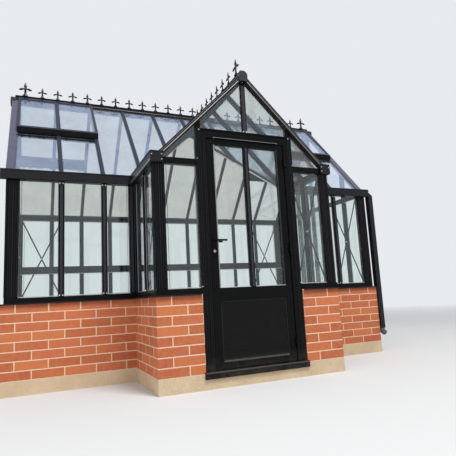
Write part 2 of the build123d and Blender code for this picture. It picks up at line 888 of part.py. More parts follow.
# Roof vents: framed lights over the end bays, hinged at the ridge and standing a little open,
# with a deep front flange that hangs down to the roof
vent_start = verge_edge
vent_stop = (vent_bays - main_bars) * bay + rafter_width / 2
vent_head = frame_y - ridge_bead_radius - vent_ridge_gap
vent_hinge = front_roof.from_local_coords((0, vent_head / cos(main_slope), 0))
vent_slope = radians(main_pitch - vent_open_angle)
vent_plane = Plane(origin=vent_hinge, x_dir=(1, 0, 0), z_dir=(0, -tan(vent_slope), 1))
vent_run = vent_head - vent_foot + vent_overlap
vent_end = vent_hinge.Y - vent_run
vent_rail_run = vent_end_rail * cos(vent_slope)
vent_bars = left_rafters[: vent_bays - 1]
vent_starts = [vent_start + vent_side_rail] + [x + rafter_width / 2 for x in vent_bars]
vent_stops = [x - rafter_width / 2 for x in vent_bars] + [vent_stop - vent_side_rail]
flange_foot = eaves_plane + (vent_end + vent_flange + frame_y) * tan(main_slope) + vent_flange_gap
flange_top = vent_hinge.Z - vent_run * tan(vent_slope) + vent_thickness

with BuildPart() as roof_vents:
    roof_strip(vent_plane, vent_start, vent_stop, -vent_run, 0, -vent_thickness, 0)
    for start, stop in zip(vent_starts, vent_stops):
        roof_strip(
            vent_plane,
            start,
            stop,
            vent_rail_run - vent_run,
            -vent_rail_run,
            -vent_thickness,
            0,
            mode=Mode.SUBTRACT,
        )
    slab(vent_start, vent_stop, vent_end, vent_end + vent_flange, flange_foot, flange_top)
    mirror(about=Plane.YZ)
    mirror(about=Plane.XZ)
save(roof_vents, "roof_vents")

with BuildPart() as vent_glass:
    for start, stop in zip(vent_starts, vent_stops):
        roof_strip(
            vent_plane,
            start + glass_gap,
            stop - glass_gap,
            vent_rail_run - vent_run + glass_gap,
            -vent_rail_run - glass_gap,
            -(vent_thickness + glass_thickness) / 2,
            -(vent_thickness - glass_thickness) / 2,
        )
    mirror(about=Plane.YZ)
    mirror(about=Plane.XZ)
save(vent_glass, "vent_glass")

# Cross bars under the lower edge of the vents, each with a stay that holds the vent
cap_inset = (rafter_width - web_width) / 2
with BuildPart() as vent_sills:
    for start, stop in left_spans[:vent_bays]:
        middle = (start + stop) / 2
        cap_start = start - glass_gap + cap_inset
        cap_stop = stop + glass_gap - cap_inset
        if start == left_spans[0][0]:
            cap_start = verge_edge + verge_lip
        low = vent_foot - vent_sill_width / 2
        roof_strip(front_roof, cap_start, cap_stop, low, low + vent_sill_width, 0, rafter_cap)
        low = vent_foot - web_width / 2
        roof_strip(
            front_roof,
            start - glass_gap,
            stop + glass_gap,
            low,
            low + web_width,
            rafter_cap,
            rafter_depth,
        )
        roof_strip(
            front_roof,
            middle - vent_stay_width / 2,
            middle + vent_stay_width / 2,
            low,
            low + web_width,
            -vent_stay_height,
            0,
        )
    split(bisect_by=vent_plane, keep=Keep.BOTTOM)
    mirror(about=Plane.YZ)
    mirror(about=Plane.XZ)
save(vent_sills, "vent_sills")


def strap(face, start, stop, layer):
    """A flat brace on a face between two points, in the given layer of straps."""
    run = stop[0] - start[0]
    rise = stop[1] - start[1]
    middle = ((start[0] + stop[0]) / 2, (start[1] + stop[1]) / 2)
    with BuildSketch(face.offset(layer * brace_thickness)) as outline:
        with Locations(Location(middle, degrees(atan2(rise, run)))):
            Rectangle(hypot(run, rise), brace_width)
    extrude(outline.sketch, amount=brace_thickness)


def cross_brace(face, near, far):
    """Two straps crossing between local x near and far, from the sill to the eaves beam."""
    low = sill_top
    high = eaves_underside + brace_width
    strap(face, (near, low), (far, high), 0)
    strap(face, (far, low), (near, high), 1)


# Crossed wind braces inside the corner bays
end_inside = Plane(origin=(-frame_x + bar_depth, 0, 0), x_dir=(0, 1, 0), z_dir=(1, 0, 0))
porch_inside = Plane(origin=(-porch_x + bar_depth, 0, 0), x_dir=(0, 1, 0), z_dir=(1, 0, 0))
back_inside = Plane(origin=(0, frame_y - bar_depth, 0), x_dir=(1, 0, 0), z_dir=(0, -1, 0))
brace_end = bar_depth + brace_width
with BuildPart() as wind_braces:
    cross_brace(end_inside, -frame_y + brace_end, -frame_y + brace_reach)
    cross_brace(end_inside, frame_y - brace_reach, frame_y - brace_end)
    cross_brace(porch_inside, porch_y + brace_end, porch_y + brace_reach)
    cross_brace(back_inside, -frame_x + brace_end, -frame_x + brace_reach)
    split(bisect_by=Plane.XY.offset(sill_top), keep=Keep.TOP)
    mirror(about=Plane.YZ)
save(wind_braces, "wind_braces")

# Staging rail along the back wall, carried on the braces
shelf_back = frame_y - bar_depth - 2 * brace_thickness
shelf_end = frame_x - brace_end
with BuildPart() as back_rail:
    slab(
        -shelf_end,
        shelf_end,
        shelf_back - shelf_depth,
        shelf_back,
        shelf_height,
        shelf_height + shelf_thickness,
    )
save(back_rail, "back_rail")

# Door leaf: aluminium frame with a glazed upper part and a solid lower panel
leaf_half = door_clear - door_gap
leaf_front = porch_y + door_recess
leaf_bottom = door_foot + door_gap
leaf_top = head_underside - door_gap
light_half = leaf_half - stile_width
light_width = light_half - door_mullion / 2
light_low = mid_rail_bottom + mid_rail_height
light_high = leaf_top - top_rail_height
kick_low = leaf_bottom + bottom_rail_height
leaf_face = Plane(origin=(0, leaf_front, 0), x_dir=(1, 0, 0), z_dir=(0, -1, 0))

with BuildPart() as door_leaf:
    with BuildSketch(leaf_face):
        with Locations((-leaf_half, leaf_bottom)):
            Rectangle(2 * leaf_half, leaf_top - leaf_bottom, align=LOW)
        with Locations((-light_half, light_low), (door_mullion / 2, light_low)):
            Rectangle(light_width, light_high - light_low, align=LOW, mode=Mode.SUBTRACT)
        with Locations((-light_half, kick_low)):
            Rectangle(2 * light_half, mid_rail_bottom - kick_low, align=LOW, mode=Mode.SUBTRACT)
    extrude(amount=-leaf_thickness)
    ledges = door_leaf.faces().filter_by(Axis.Z).filter_by(
        lambda face: leaf_bottom < face.center().Z < leaf_top and face.normal_at().Z > 0
    )
    chamfer(ledges.edges().filter_by(Axis.X).group_by(Axis.Y)[0], rail_chamfer)
save(door_leaf, "door_leaf")

with BuildPart() as leaf_glass:
    panes(
        leaf_face,
        [
            (-light_half + glass_gap, -door_mullion / 2 - glass_gap),
            (door_mullion / 2 + glass_gap, light_half - glass_gap),
        ],
        light_low + glass_gap,
        light_high - glass_gap,
        (leaf_thickness - glass_thickness) / 2,
    )
save(leaf_glass, "leaf_glass")

with BuildPart() as leaf_panel:
    with BuildSketch(leaf_face.offset(-(leaf_thickness - panel_thickness) / 2)):
        with Locations((-light_half + glass_gap, kick_low + glass_gap)):
            Rectangle(
                2 * (light_half - glass_gap),
                mid_rail_bottom - kick_low - 2 * glass_gap,
                align=LOW,
            )
    extrude(amount=-panel_thickness)
save(leaf_panel, "leaf_panel")

# Lever handle on a long plate, outside and inside
handle_x = -leaf_half + stile_width / 2
leaf_back = leaf_front + leaf_thickness
with BuildPart() as door_handles:
    for y, away in ((leaf_front, -1), (leaf_back, 1)):
        grip = y + away * lever_reach
        with Locations((handle_x, y + away * plate_thickness / 2, handle_height - plate_drop)):
            Box(plate_width, plate_thickness, plate_height)
        with Locations((handle_x, (y + grip) / 2, handle_height)):
            Box(lever_size, lever_reach, lever_size)
        with Locations((handle_x - lever_size / 2, grip - away * lever_size / 2, handle_height)):
            Box(lever_length, lever_size, lever_size, align=(Align.MIN, Align.CENTER, Align.CENTER))
save(door_handles, "door_handles")

# Hinges: three knuckles round one upright axis, the middle one on the leaf
hinge_x = door_clear - door_gap / 2
hinge_y = porch_y - hinge_stand_off
knuckle = hinge_height / 3
hinge_places = [leaf_bottom + hinge_inset, (leaf_bottom + leaf_top) / 2, leaf_top - hinge_inset]
with BuildPart() as hinge_leaves:
    for z in hinge_places:
        with Locations((hinge_x, hinge_y, z)):
            Cylinder(hinge_radius, knuckle - 2 * hinge_gap)
        slab(
            hinge_x - 2 * hinge_radius,
            hinge_x - hinge_sheet,
            hinge_y,
            leaf_front,
            z - knuckle / 2 + hinge_gap,
            z + knuckle / 2 - hinge_gap,
        )
        slab(
            hinge_x - hinge_flap,
            hinge_x - hinge_sheet,
            leaf_front - hinge_sheet,
            leaf_front,
            z - hinge_height / 2,
            z + hinge_height / 2,
        )
save(hinge_leaves, "hinge_leaves")

with BuildPart() as hinge_brackets:
    for z in hinge_places:
        for place in (z - knuckle, z + knuckle):
            with Locations((hinge_x, hinge_y, place)):
                Cylinder(hinge_radius, knuckle)
            slab(
                hinge_x,
                hinge_x + bracket_arm,
                hinge_y,
                porch_y,
                place - knuckle / 2,
                place + knuckle / 2,
            )
        slab(
            hinge_x + 2 * hinge_radius,
            hinge_x + bracket_flap,
            porch_y - hinge_sheet,
            porch_y,
            z - hinge_height / 2,
            z + hinge_height / 2,
        )
save(hinge_brackets, "hinge_brackets")
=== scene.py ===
# %% [markdown]
# A glass greenhouse on a low brick wall, with a gabled porch and a black aluminium frame.
# The CAD solids come in as a fixed frame. This lesson dresses them: it gives every part a
# finish made of shader nodes, adds the small trim that the eye expects, and sets up the
# floor, the light and the camera. All lengths are metres.

# %% Load the frame
import bpy
import bmesh
import json
from math import cos, radians, sin
from mathutils import Matrix, Vector


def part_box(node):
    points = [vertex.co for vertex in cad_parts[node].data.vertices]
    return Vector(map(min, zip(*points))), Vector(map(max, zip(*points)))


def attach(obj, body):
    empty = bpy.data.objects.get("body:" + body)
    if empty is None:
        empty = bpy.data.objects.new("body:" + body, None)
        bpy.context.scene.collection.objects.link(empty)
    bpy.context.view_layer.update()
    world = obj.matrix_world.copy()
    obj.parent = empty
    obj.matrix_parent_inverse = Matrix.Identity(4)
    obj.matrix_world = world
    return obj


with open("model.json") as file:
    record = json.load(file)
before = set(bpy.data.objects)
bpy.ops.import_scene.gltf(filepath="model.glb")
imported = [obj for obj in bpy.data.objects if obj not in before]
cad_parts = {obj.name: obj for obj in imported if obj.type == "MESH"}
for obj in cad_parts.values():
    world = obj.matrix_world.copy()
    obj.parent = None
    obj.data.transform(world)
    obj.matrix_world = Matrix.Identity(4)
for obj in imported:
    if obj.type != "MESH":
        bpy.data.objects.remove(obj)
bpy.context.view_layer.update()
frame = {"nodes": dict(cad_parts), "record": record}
print("CAD nodes:", len(frame["nodes"]))

# %% [markdown]
# A finish rests on sums worked out at every point of a surface. Writing them as nodes by hand
# is long, so this class wraps one output socket and lets Python's signs add the Math nodes.
# A plain number stays a number and goes straight into the socket of the node it feeds.

# %% A socket that does sums


class Value:
    def __init__(self, tree, socket):
        self.tree = tree
        self.socket = socket

    def math(self, operation, *others):
        node = self.tree.nodes.new("ShaderNodeMath")
        node.operation = operation
        for slot, item in enumerate((self, *others)):
            if isinstance(item, Value):
                self.tree.links.new(item.socket, node.inputs[slot])
            else:
                node.inputs[slot].default_value = item
        return Value(self.tree, node.outputs[0])

    def turned(self, operation, first):
        node = self.tree.nodes.new("ShaderNodeMath")
        node.operation = operation
        node.inputs[0].default_value = first
        self.tree.links.new(self.socket, node.inputs[1])
        return Value(self.tree, node.outputs[0])

    def __add__(self, other):
        return self.math("ADD", other)

    def __radd__(self, other):
        return self.math("ADD", other)

    def __sub__(self, other):
        return self.math("SUBTRACT", other)

    def __rsub__(self, other):
        return self.turned("SUBTRACT", other)

    def __mul__(self, other):
        return self.math("MULTIPLY", other)

    def __rmul__(self, other):
        return self.math("MULTIPLY", other)

    def __truediv__(self, other):
        return self.math("DIVIDE", other)

    def __mod__(self, other):
        return self.math("FLOORED_MODULO", other)

    def __pow__(self, other):
        return self.math("POWER", other)

    def __gt__(self, other):
        return self.math("GREATER_THAN", other)

    def __lt__(self, other):
        return self.math("LESS_THAN", other)

    def __abs__(self):
        return self.math("ABSOLUTE")

    def clamp(self):
        return self.math("MAXIMUM", 0.0).math("MINIMUM", 1.0)


print("a Value adds a Math node for each of + - * / % ** > < and abs")

# %% [markdown]
# A finish is a tree of nodes that ends in an output. This class starts such a tree, and its
# node method makes every kind of node but the Math nodes: it takes the node's type, its
# settings, which are set first, and the values or links of its sockets by their names. The
# short methods below it are the nodes that nearly every finish needs.

# %% A tree of shader nodes


class Finish:
    """The nodes of a material, or of the sky."""

    def __init__(self, owner, output="OutputMaterial"):
        self.owner = owner
        owner.use_nodes = True
        self.tree = owner.node_tree
        self.tree.nodes.clear()
        self.output = self.tree.nodes.new("ShaderNode" + output)

    def node(self, kind, settings=None, out=0, **inputs):
        node = self.tree.nodes.new("ShaderNode" + kind)
        for key, item in (settings or {}).items():
            setattr(node, key, item)
        for key, item in inputs.items():
            socket = self.find(node, key)
            if isinstance(item, Value):
                self.tree.links.new(item.socket, socket)
            elif socket.type == "RGBA":
                socket.default_value = (*item, 1)
            else:
                socket.default_value = item
        return Value(self.tree, node.outputs[out])

    @staticmethod
    def find(node, key):
        wanted = key.replace("_", " ").lower()
        for socket in node.inputs:
            if socket.enabled and socket.name.lower() == wanted:
                return socket
        # two sockets of one name are told apart by their place, as in Shader_1 and Shader_2
        return node.inputs[int(key.split("_")[-1])]

    def place(self):
        return self.node("TexCoord", out="Object")

    def split(self, vector):
        parts = self.node("SeparateXYZ", Vector=vector)
        return [Value(self.tree, socket) for socket in parts.socket.node.outputs]

    def axes(self):
        return self.split(self.place())

    def noise(self, scale, detail=3.0, roughness=0.5):
        return self.node(
            "TexNoise", Vector=self.place(), Scale=scale, Detail=detail, Roughness=roughness
        )

    def blend(self, factor, first, second):
        # a Mix node keeps its colour in the third of its results
        return self.node("Mix", {"data_type": "RGBA"}, out=2, Factor=factor, A=first, B=second)

    def bump(self, height, distance):
        return self.node("Bump", Height=height, Distance=distance, Strength=1.0)

    def surface(self, shader):
        self.tree.links.new(shader.socket, self.output.inputs[0])
        return self.owner


def new_finish(name):
    return Finish(bpy.data.materials.new(name))


print("materials before the first finish:", len(bpy.data.materials))

# %% [markdown]
# The frame is aluminium with a black powder coat: a paint baked on as dust, which leaves a
# satin skin with a fine ripple. The ripple is a bump, and the sheen varies slowly along a bar.
# Rain splashes mud on whatever is near the ground, so the coat is dusty there.

# %% Black powder coat
splash_height = 0.24
splash_fade = 0.12
dried_mud = (0.060, 0.050, 0.038)
ripple = 0.00006


def powder_coat(name, colour, sheen, gloss=0.12):
    coat = new_finish(name)
    cloud = coat.noise(3.0, detail=4.0)
    dust = coat.noise(14.0, detail=6.0, roughness=0.65)
    skin = coat.noise(900.0, detail=2.0)
    worn = tuple(c * 1.8 + 0.003 for c in colour)
    tint = coat.blend((dust * 1.6 - 0.45).clamp() * 0.5, colour, worn)
    near_ground = ((splash_height - coat.axes()[2]) / splash_fade).clamp()
    tint = coat.blend(near_ground * (dust * 2.4 - 0.7).clamp() * 0.6, tint, dried_mud)
    shader = coat.node(
        "BsdfPrincipled",
        Base_Color=tint,
        Roughness=sheen + cloud * 0.14 - 0.07,
        Specular_IOR_Level=gloss,
        Normal=coat.bump(skin, ripple),
    )
    print(name, "has a roughness near", sheen)
    return coat.surface(shader)


black_coat = powder_coat("black_powder_coat", (0.0028, 0.0029, 0.0031), sheen=0.30, gloss=0.08)
# a paler copy of the black coat: painted highlight on ribs, mouldings, nosings and screws
rib_highlight_coat = powder_coat("rib_highlight_powder_coat", (0.0085, 0.0080, 0.0100), sheen=0.30)
# a paler copy of the black coat: painted sheen of the sky on spines and beads
spine_sheen_coat = powder_coat("spine_painted_sheen_coat", (0.023, 0.0225, 0.0275), sheen=0.30, gloss=0.18)
# a paler, bluer copy of the black coat: painted sheen of the sky on the roof bars
roof_sheen_coat = powder_coat("roof_bar_painted_sheen_coat", (0.012, 0.017, 0.030), sheen=0.30, gloss=0.20)
# a paler copy of the black coat: painted sheen of the sky on ridge caps and gable spines
cap_sheen_coat = powder_coat("cap_painted_sheen_coat", (0.030, 0.028, 0.036), sheen=0.30, gloss=0.16)
casting_coat = powder_coat("casting_powder_coat", (0.021, 0.020, 0.027), sheen=0.30, gloss=0.18)
# a pale grey copy of the black coat: scuffed by boots, and partly a painted highlight
scuffed_highlight_coat = powder_coat("scuffed_highlight_powder_coat", (0.050, 0.050, 0.052), sheen=0.34, gloss=0.25)
olive_coat = powder_coat("olive_powder_coat", (0.0130, 0.0140, 0.0120), sheen=0.34)
# a paler purple-grey copy of the black coat: painted reflection of the sky on the verges
verge_sky_sheen_coat = powder_coat("verge_painted_sky_sheen_coat", (0.060, 0.059, 0.094), sheen=0.34, gloss=0.30)
gutter_coat = powder_coat("gutter_powder_coat", (0.0105, 0.0100, 0.0120), sheen=0.28, gloss=0.16)
panel_coat = powder_coat("panel_powder_coat", (0.0035, 0.0036, 0.0032), sheen=0.36)
shoe_coat = powder_coat("grey_shoe_coat", (0.075, 0.078, 0.068), sheen=0.32, gloss=0.40)

# %% [markdown]
# Some edges are left as raw aluminium: glazing beads, drips and ledges. Raw metal is a
# metallic surface whose sheen changes in fine streaks. Two duller grades are for what has
# weathered and for metal painted into shade, and a brighter one is for the plated screws and
# bolts.

# %% Raw aluminium
streak_depth = 0.00005


def raw_aluminium(name, colour, sheen):
    metal = new_finish(name)
    streaks = metal.noise(140.0, roughness=0.6)
    cloud = metal.noise(8.0)
    dull = tuple(c * 0.6 for c in colour)
    shader = metal.node(
        "BsdfPrincipled",
        Base_Color=metal.blend((cloud * 1.8 - 0.5).clamp() * 0.6, colour, dull),
        Roughness=sheen + streaks * 0.2 - 0.1,
        Metallic=1.0,
        Normal=metal.bump(streaks, streak_depth),
    )
    print(name, "has a roughness near", sheen)
    return metal.surface(shader)


raw_metal = raw_aluminium("raw_aluminium", (0.62, 0.60, 0.57), sheen=0.38)
worn_and_shaded_metal = raw_aluminium("worn_and_shaded_aluminium", (0.34, 0.335, 0.33), sheen=0.42)
weathered_and_shaded_metal = raw_aluminium("weathered_and_shaded_aluminium", (0.17, 0.165, 0.16), sheen=0.5)
zinc_metal = raw_aluminium("zinc_plated_steel", (0.86, 0.87, 0.90), sheen=0.26)

# %% [markdown]
# Glass shows what is behind it and mirrors the sky more as it is seen at a lower angle. A
# clear shader and a mirror-like one are mixed by how far the face turns from the eye, to the
# fifth power, which is the usual stand-in for the real law. The panes are closed solids 4 mm
# thick, so a ray meets each twice. The roof glass reflects more than the wall glass, because
# it lies under the open sky and has a film of dust. Its mirror and its dust are tinted sky
# blue, which paints in the reflection of a blue sky.

# %% Pane glass


def pane_glass(name, tint, least, sheen, mirror_tint, film, dust_and_sky_tint):
    glass = new_finish(name)
    clear = glass.node("BsdfTransparent", Color=tint)
    mirror = glass.node("BsdfPrincipled", Base_Color=mirror_tint, Roughness=sheen, Metallic=1.0)
    low_angle = glass.node("LayerWeight", out="Facing", Blend=0.5) ** 5
    share = (low_angle * (1 - least) + least).clamp()
    both = glass.node("MixShader", Fac=share, Shader_1=clear, Shader_2=mirror)
    dust = glass.node("BsdfDiffuse", Color=dust_and_sky_tint)
    streaks = glass.noise(4.0, detail=5.0, roughness=0.6)
    covered = (streaks * 1.6 - 0.3).clamp() * film
    dusty = glass.node("MixShader", Fac=covered, Shader_1=both, Shader_2=dust)
    print(name, "mirrors at least", least, "and its dust hides up to", film)
    return glass.surface(dusty)


wall_glass = pane_glass(
    "wall_pane",
    tint=(0.952, 0.974, 0.964),
    least=0.05,
    sheen=0.03,
    mirror_tint=(0.72, 0.78, 0.80),
    film=0.02,
    dust_and_sky_tint=(0.84, 0.86, 0.86),
)
roof_glass = pane_glass(
    "roof_pane",
    tint=(0.985, 0.985, 0.94),
    least=0.18,
    sheen=0.06,
    # the blue of the mirror and of the dust is a painted reflection of the sky
    mirror_tint=(0.55, 0.68, 0.98),
    film=0.15,
    dust_and_sky_tint=(0.66, 0.74, 0.92),
)

# %% [markdown]
# The wall is orange-red brick in stretcher bond: each course starts half a brick along from
# the one below. The bond is worked out from a place along the wall and a height. It runs
# along X on the long walls and along Y on the cross walls, so the finish looks at which way
# a face points. The front wings, the porch and the back each begin their bond at another
# place, as a bricklayer does at a corner.

# %% Where a point lies in the bond
wall_low, wall_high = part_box("long_walls")
wings_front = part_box("main_base")[0].y
# a front that lies further forward than this is the porch's own
past_wings = wings_front - 0.16
courses = 8
brick_high = (wall_high.z - wall_low.z) / courses
brick_long = 0.2597
joint = 0.0108
# how far along each wall a whole brick of the lowest course begins
wing_start = 0.1588
porch_start = 0.0786
back_start = 0.1009
side_start = 0.1208
porch_side_start = 0.1379
# this many bricks before the first one keep every place above zero
bricks_before = 20


def pick(mask, chosen, other):
    return mask * chosen + (1 - mask) * other


def bond(wall):
    x, y, z = wall.axes()
    facing = wall.split(wall.node("TexCoord", out="Normal"))
    sideways = abs(facing[0]) > 0.5
    back = y > 0.0
    front_start = pick(y < past_wings, porch_start, wing_start)
    long_wall = pick(back, x - back_start, abs(x) - front_start)
    cross_wall = y - pick(y < wings_front, porch_side_start, side_start)
    along = pick(sideways, cross_wall, long_wall)
    row_place = (z - wall_low.z) / brick_high
    row = row_place.math("FLOOR")
    odd = row % 2
    brick_place = (along + bricks_before * brick_long) / brick_long + odd * 0.5
    number = brick_place.math("FLOOR")
    in_brick = (brick_place - number) * brick_long
    in_row = (row_place - row) * brick_high
    return row, number, in_brick, in_row, pick(sideways, 5.0, back * 3.0)


print("a course is", round(brick_high, 4), "m high and a brick and joint", brick_long, "m long")

# %% [markdown]
# Each brick has a shade of its own, from a random number that its row and place give. The
# faces are sand-rubbed, with paler bloom and darker specks, and some are more orange than
# others. The course under the sill is painted darker: a painted shadow of the sill, broken
# up by noise. The joints are flush cream mortar with a ragged edge, a millimetre or two back.

# %% Brickwork
# where the painted shadow of the sill starts, low in the top course
sill_shadow_foot = 0.685
mortar_sharpness = 700


def brickwork():
    wall = new_finish("orange_brick")
    row, number, in_brick, in_row, side = bond(wall)
    z_of_point = wall.axes()[2]
    edge_x = brick_long / 2 - abs(in_brick - brick_long / 2)
    edge_z = brick_high / 2 - abs(in_row - brick_high / 2)
    edge = edge_x.math("MINIMUM", edge_z)
    wobble = wall.noise(55.0) * 0.004 - 0.002
    mortar = 1 - ((edge + wobble - joint / 2) * mortar_sharpness + 0.5).clamp()
    shade_seed = wall.node("CombineXYZ", X=number * 1.37, Y=row * 2.11, Z=side)
    shade = wall.node("TexWhiteNoise", Vector=shade_seed)
    mottle = wall.noise(26.0, detail=6.0, roughness=0.62)
    speck = wall.noise(160.0, detail=2.0)
    hue_seed = wall.node("CombineXYZ", X=row * 1.93, Y=number * 2.71, Z=side)
    hue = wall.node("TexWhiteNoise", Vector=hue_seed)
    burnt = wall.noise(9.0)
    deep = wall.blend(hue, (0.38, 0.078, 0.033), (0.38, 0.092, 0.029))
    light = wall.blend(hue, (0.55, 0.134, 0.055), (0.54, 0.154, 0.047))
    red = wall.blend(shade, deep, light)
    red = wall.blend((burnt * 3.0 - 1.2).clamp() * 0.4, red, (0.47, 0.150, 0.036))
    red = wall.blend((mottle * 2.2 - 0.75).clamp() * 0.5, red, (0.58, 0.215, 0.095))
    red = wall.blend((speck * 4 - 2.3).clamp() * 0.5, red, (0.26, 0.05, 0.024))
    # painted shadow of the sill over the top course of bricks
    painted_sill_shadow = ((z_of_point - sill_shadow_foot) / 0.02).clamp() * (burnt * 1.2 + 0.25).clamp()
    red = wall.blend(painted_sill_shadow * 0.62, red, (0.19, 0.040, 0.020))
    cream = wall.blend(mottle, (0.66, 0.40, 0.26), (0.84, 0.55, 0.38))
    height = (1 - mortar) * 0.004 + mottle * 0.0012 + speck * 0.0006
    shader = wall.node(
        "BsdfPrincipled",
        Base_Color=wall.blend(mortar, red, cream),
        Roughness=0.86,
        Normal=wall.bump(height, 1.0),
    )
    return wall.surface(shader)


brick = brickwork()
print("nodes in the brick finish:", len(brick.node_tree.nodes))

# %% [markdown]
# The wall stands on a strip of cast concrete. It is sandy and warm grey, darker in wet
# patches, with small stones showing where the skin has worn off.

# %% Concrete footing


def concrete_base():
    slab = new_finish("sandy_concrete")
    cloud = slab.noise(5.0, detail=6.0, roughness=0.6)
    grit = slab.noise(120.0)
    tone = slab.blend(cloud, (0.44, 0.32, 0.19), (0.74, 0.58, 0.40))
    tone = slab.blend((grit * 3 - 1.4).clamp() * 0.4, tone, (0.25, 0.20, 0.14))
    relief = slab.bump(grit * 0.002 + cloud * 0.003, 1.0)
    shader = slab.node("BsdfPrincipled", Base_Color=tone, Roughness=0.9, Normal=relief)
    return slab.surface(shader)


concrete = concrete_base()
print("nodes in the concrete finish:", len(concrete.node_tree.nodes))

# %% [markdown]
# Every CAD part names a material slot in the imported record. A table from slot to finish
# dresses them all in one loop. The roof's panes get the roof glass, and the bars of the roof
# get a paler, bluer copy of the black coat, a painted sheen of the sky they look up at.

# %% Put the finishes on the CAD parts
finishes = {
    "frame_metal": black_coat,
    "gutter_metal": gutter_coat,
    "handle_metal": black_coat,
    "shoe_metal": shoe_coat,
    "panel": panel_coat,
    "glass": wall_glass,
    "brick": brick,
    "concrete": concrete,
}
slots = {item["node"]: item["material_slot"] for item in frame["record"]["subparts"]}
roof_panes = ("front_roof_glass", "back_roof_glass", "porch_roof_glass", "vent_glass")
roof_bars = ("front_rafters", "back_rafters", "porch_rafters", "roof_vents", "valley_bars")
ridge_bars = ("main_ridge", "porch_ridge", "porch_verges")
own_finish = {"ridge_caps": cap_sheen_coat, "main_verges": verge_sky_sheen_coat}
own_finish |= dict.fromkeys(roof_panes, roof_glass)
own_finish |= dict.fromkeys(roof_bars, roof_sheen_coat)
own_finish |= dict.fromkeys(ridge_bars, gutter_coat)
for name, node in frame["nodes"].items():
    node.data.materials.clear()
    node.data.materials.append(own_finish.get(name) or finishes[slots[name]])
print("dressed", len(slots), "nodes,", len(own_finish), "of them with a finish of their own")

# %% [markdown]
# The trim follows the CAD bars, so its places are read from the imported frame. A CAD mesh is
# loose triangles, so a copy is merged, and walking from corner to joined corner then finds
# its separate solids. Each solid is given back as its corner points.

# %% Corner points of each solid in a node
same_point = 0.00001
same_level = 0.0005


def solids(node):
    shape = bmesh.new()
    shape.from_mesh(frame["nodes"][node].data)
    bmesh.ops.remove_doubles(shape, verts=shape.verts, dist=same_point)
    waiting = set(shape.verts)
    found = []
    while waiting:
        queue = [waiting.pop()]
        points = []
        while queue:
            vert = queue.pop()
            points.append(vert.co.copy())
            near = {edge.other_vert(vert) for edge in vert.link_edges} & waiting
            waiting -= near
            queue.extend(near)
        found.append(points)
    shape.free()
    return sorted(found, key=lambda points: tuple(min(points, key=tuple)))


def corners(points):
    low = Vector([min(p[i] for p in points) for i in range(3)])
    high = Vector([max(p[i] for p in points) for i in range(3)])
    return low, high


def away(points, axis):
    """The outward direction of a solid along X or Y, seen from the middle of the building."""
    low, high = corners(points)
    out = Vector((0, 0, 0))
    out[axis] = 1.0 if low[axis] + high[axis] > 0 else -1.0
    return out


def outer(low, high, out, axis):
    """Where the outer face of a box lies on its axis."""
    return high[axis] if out[axis] > 0 else low[axis]


def thin_axis(low, high):
    """The axis, X or Y, along which a box is thinner."""
    return 0 if high.x - low.x < high.y - low.y else 1


print("wall bars:", len(solids("long_mullions")) + len(solids("cross_mullions")))

# %% [markdown]
# Most trim is a thin strip laid on a bar. A cube is stretched between two points, with its
# back sunk half a millimetre into what carries it, and its edges get a small bevel so that
# they catch the light. All strips of one kind share one mesh, and the piece function turns
# that mesh into an object that rides on its CAD body.

# %% Strips and pieces
sunk = 0.0005
X, Y, Z = Vector((1, 0, 0)), Vector((0, 1, 0)), Vector((0, 0, 1))


def strip(shape, start, end, out, width, proud, soft=0.001):
    along = (end - start).normalized()
    across = out.cross(along)
    turn = Matrix((along, across, out)).transposed().to_4x4()
    size = Matrix.Diagonal(((end - start).length, width, proud + sunk, 1))
    middle = (start + end) / 2 + out * (proud - sunk) / 2
    made = bmesh.ops.create_cube(shape, size=1.0, matrix=Matrix.Translation(middle) @ turn @ size)
    edges = list({edge for vert in made["verts"] for edge in vert.link_edges})
    bmesh.ops.bevel(
        shape, geom=edges, offset=soft, segments=1, profile=0.5, affect="EDGES", material=-1
    )


def level_strip(shape, left, right, y, z, **sizes):
    """A strip along X on a face that looks forwards."""
    strip(shape, Vector((left, y, z)), Vector((right, y, z)), -Y, **sizes)


def upright_strip(shape, x, y, foot, top, **sizes):
    """A strip along Z on a face that looks forwards."""
    strip(shape, Vector((x, y, foot)), Vector((x, y, top)), -Y, **sizes)


def piece(name, shape, finish, body="building"):
    bmesh.ops.recalc_face_normals(shape, faces=shape.faces)
    mesh = bpy.data.meshes.new(name)
    shape.to_mesh(mesh)
    shape.free()
    mesh.materials.append(finish)
    made = bpy.data.objects.new(name, mesh)
    bpy.context.scene.collection.objects.link(made)
    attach(made, body)
    print(name, len(mesh.polygons), "faces")


print("a strip is sunk", sunk, "m into what carries it")

# %% [markdown]
# Each glazing bar of the walls has a raised spine that clips over the glass. Its coat is a
# paler copy of the bar's black: a painted sheen of the sky that its faces catch. A wall bar is
# deeper than it is wide, which tells which way it faces. On its outer face, the two lowest and
# the two highest corners give the ends of the spine. The bars in the gables have a wider spine,
# painted paler still as a painted sheen, with two dark grooves.

# %% Spines on the wall bars
spine_width = 0.023
spine_proud = 0.0045
spine_end = 0.006
spine_soft = 0.0015
gable_spine_width = 0.034
groove_share = 0.25
groove_width = 0.003


def spine_line(points, out):
    furthest = max(p.dot(out) for p in points)
    face = [p for p in points if p.dot(out) > furthest - same_level]
    face.sort(key=lambda p: p.z)
    low = (face[0] + face[1]) / 2
    high = (face[-1] + face[-2]) / 2
    gap = (high - low).normalized() * spine_end
    return low + gap, high - gap


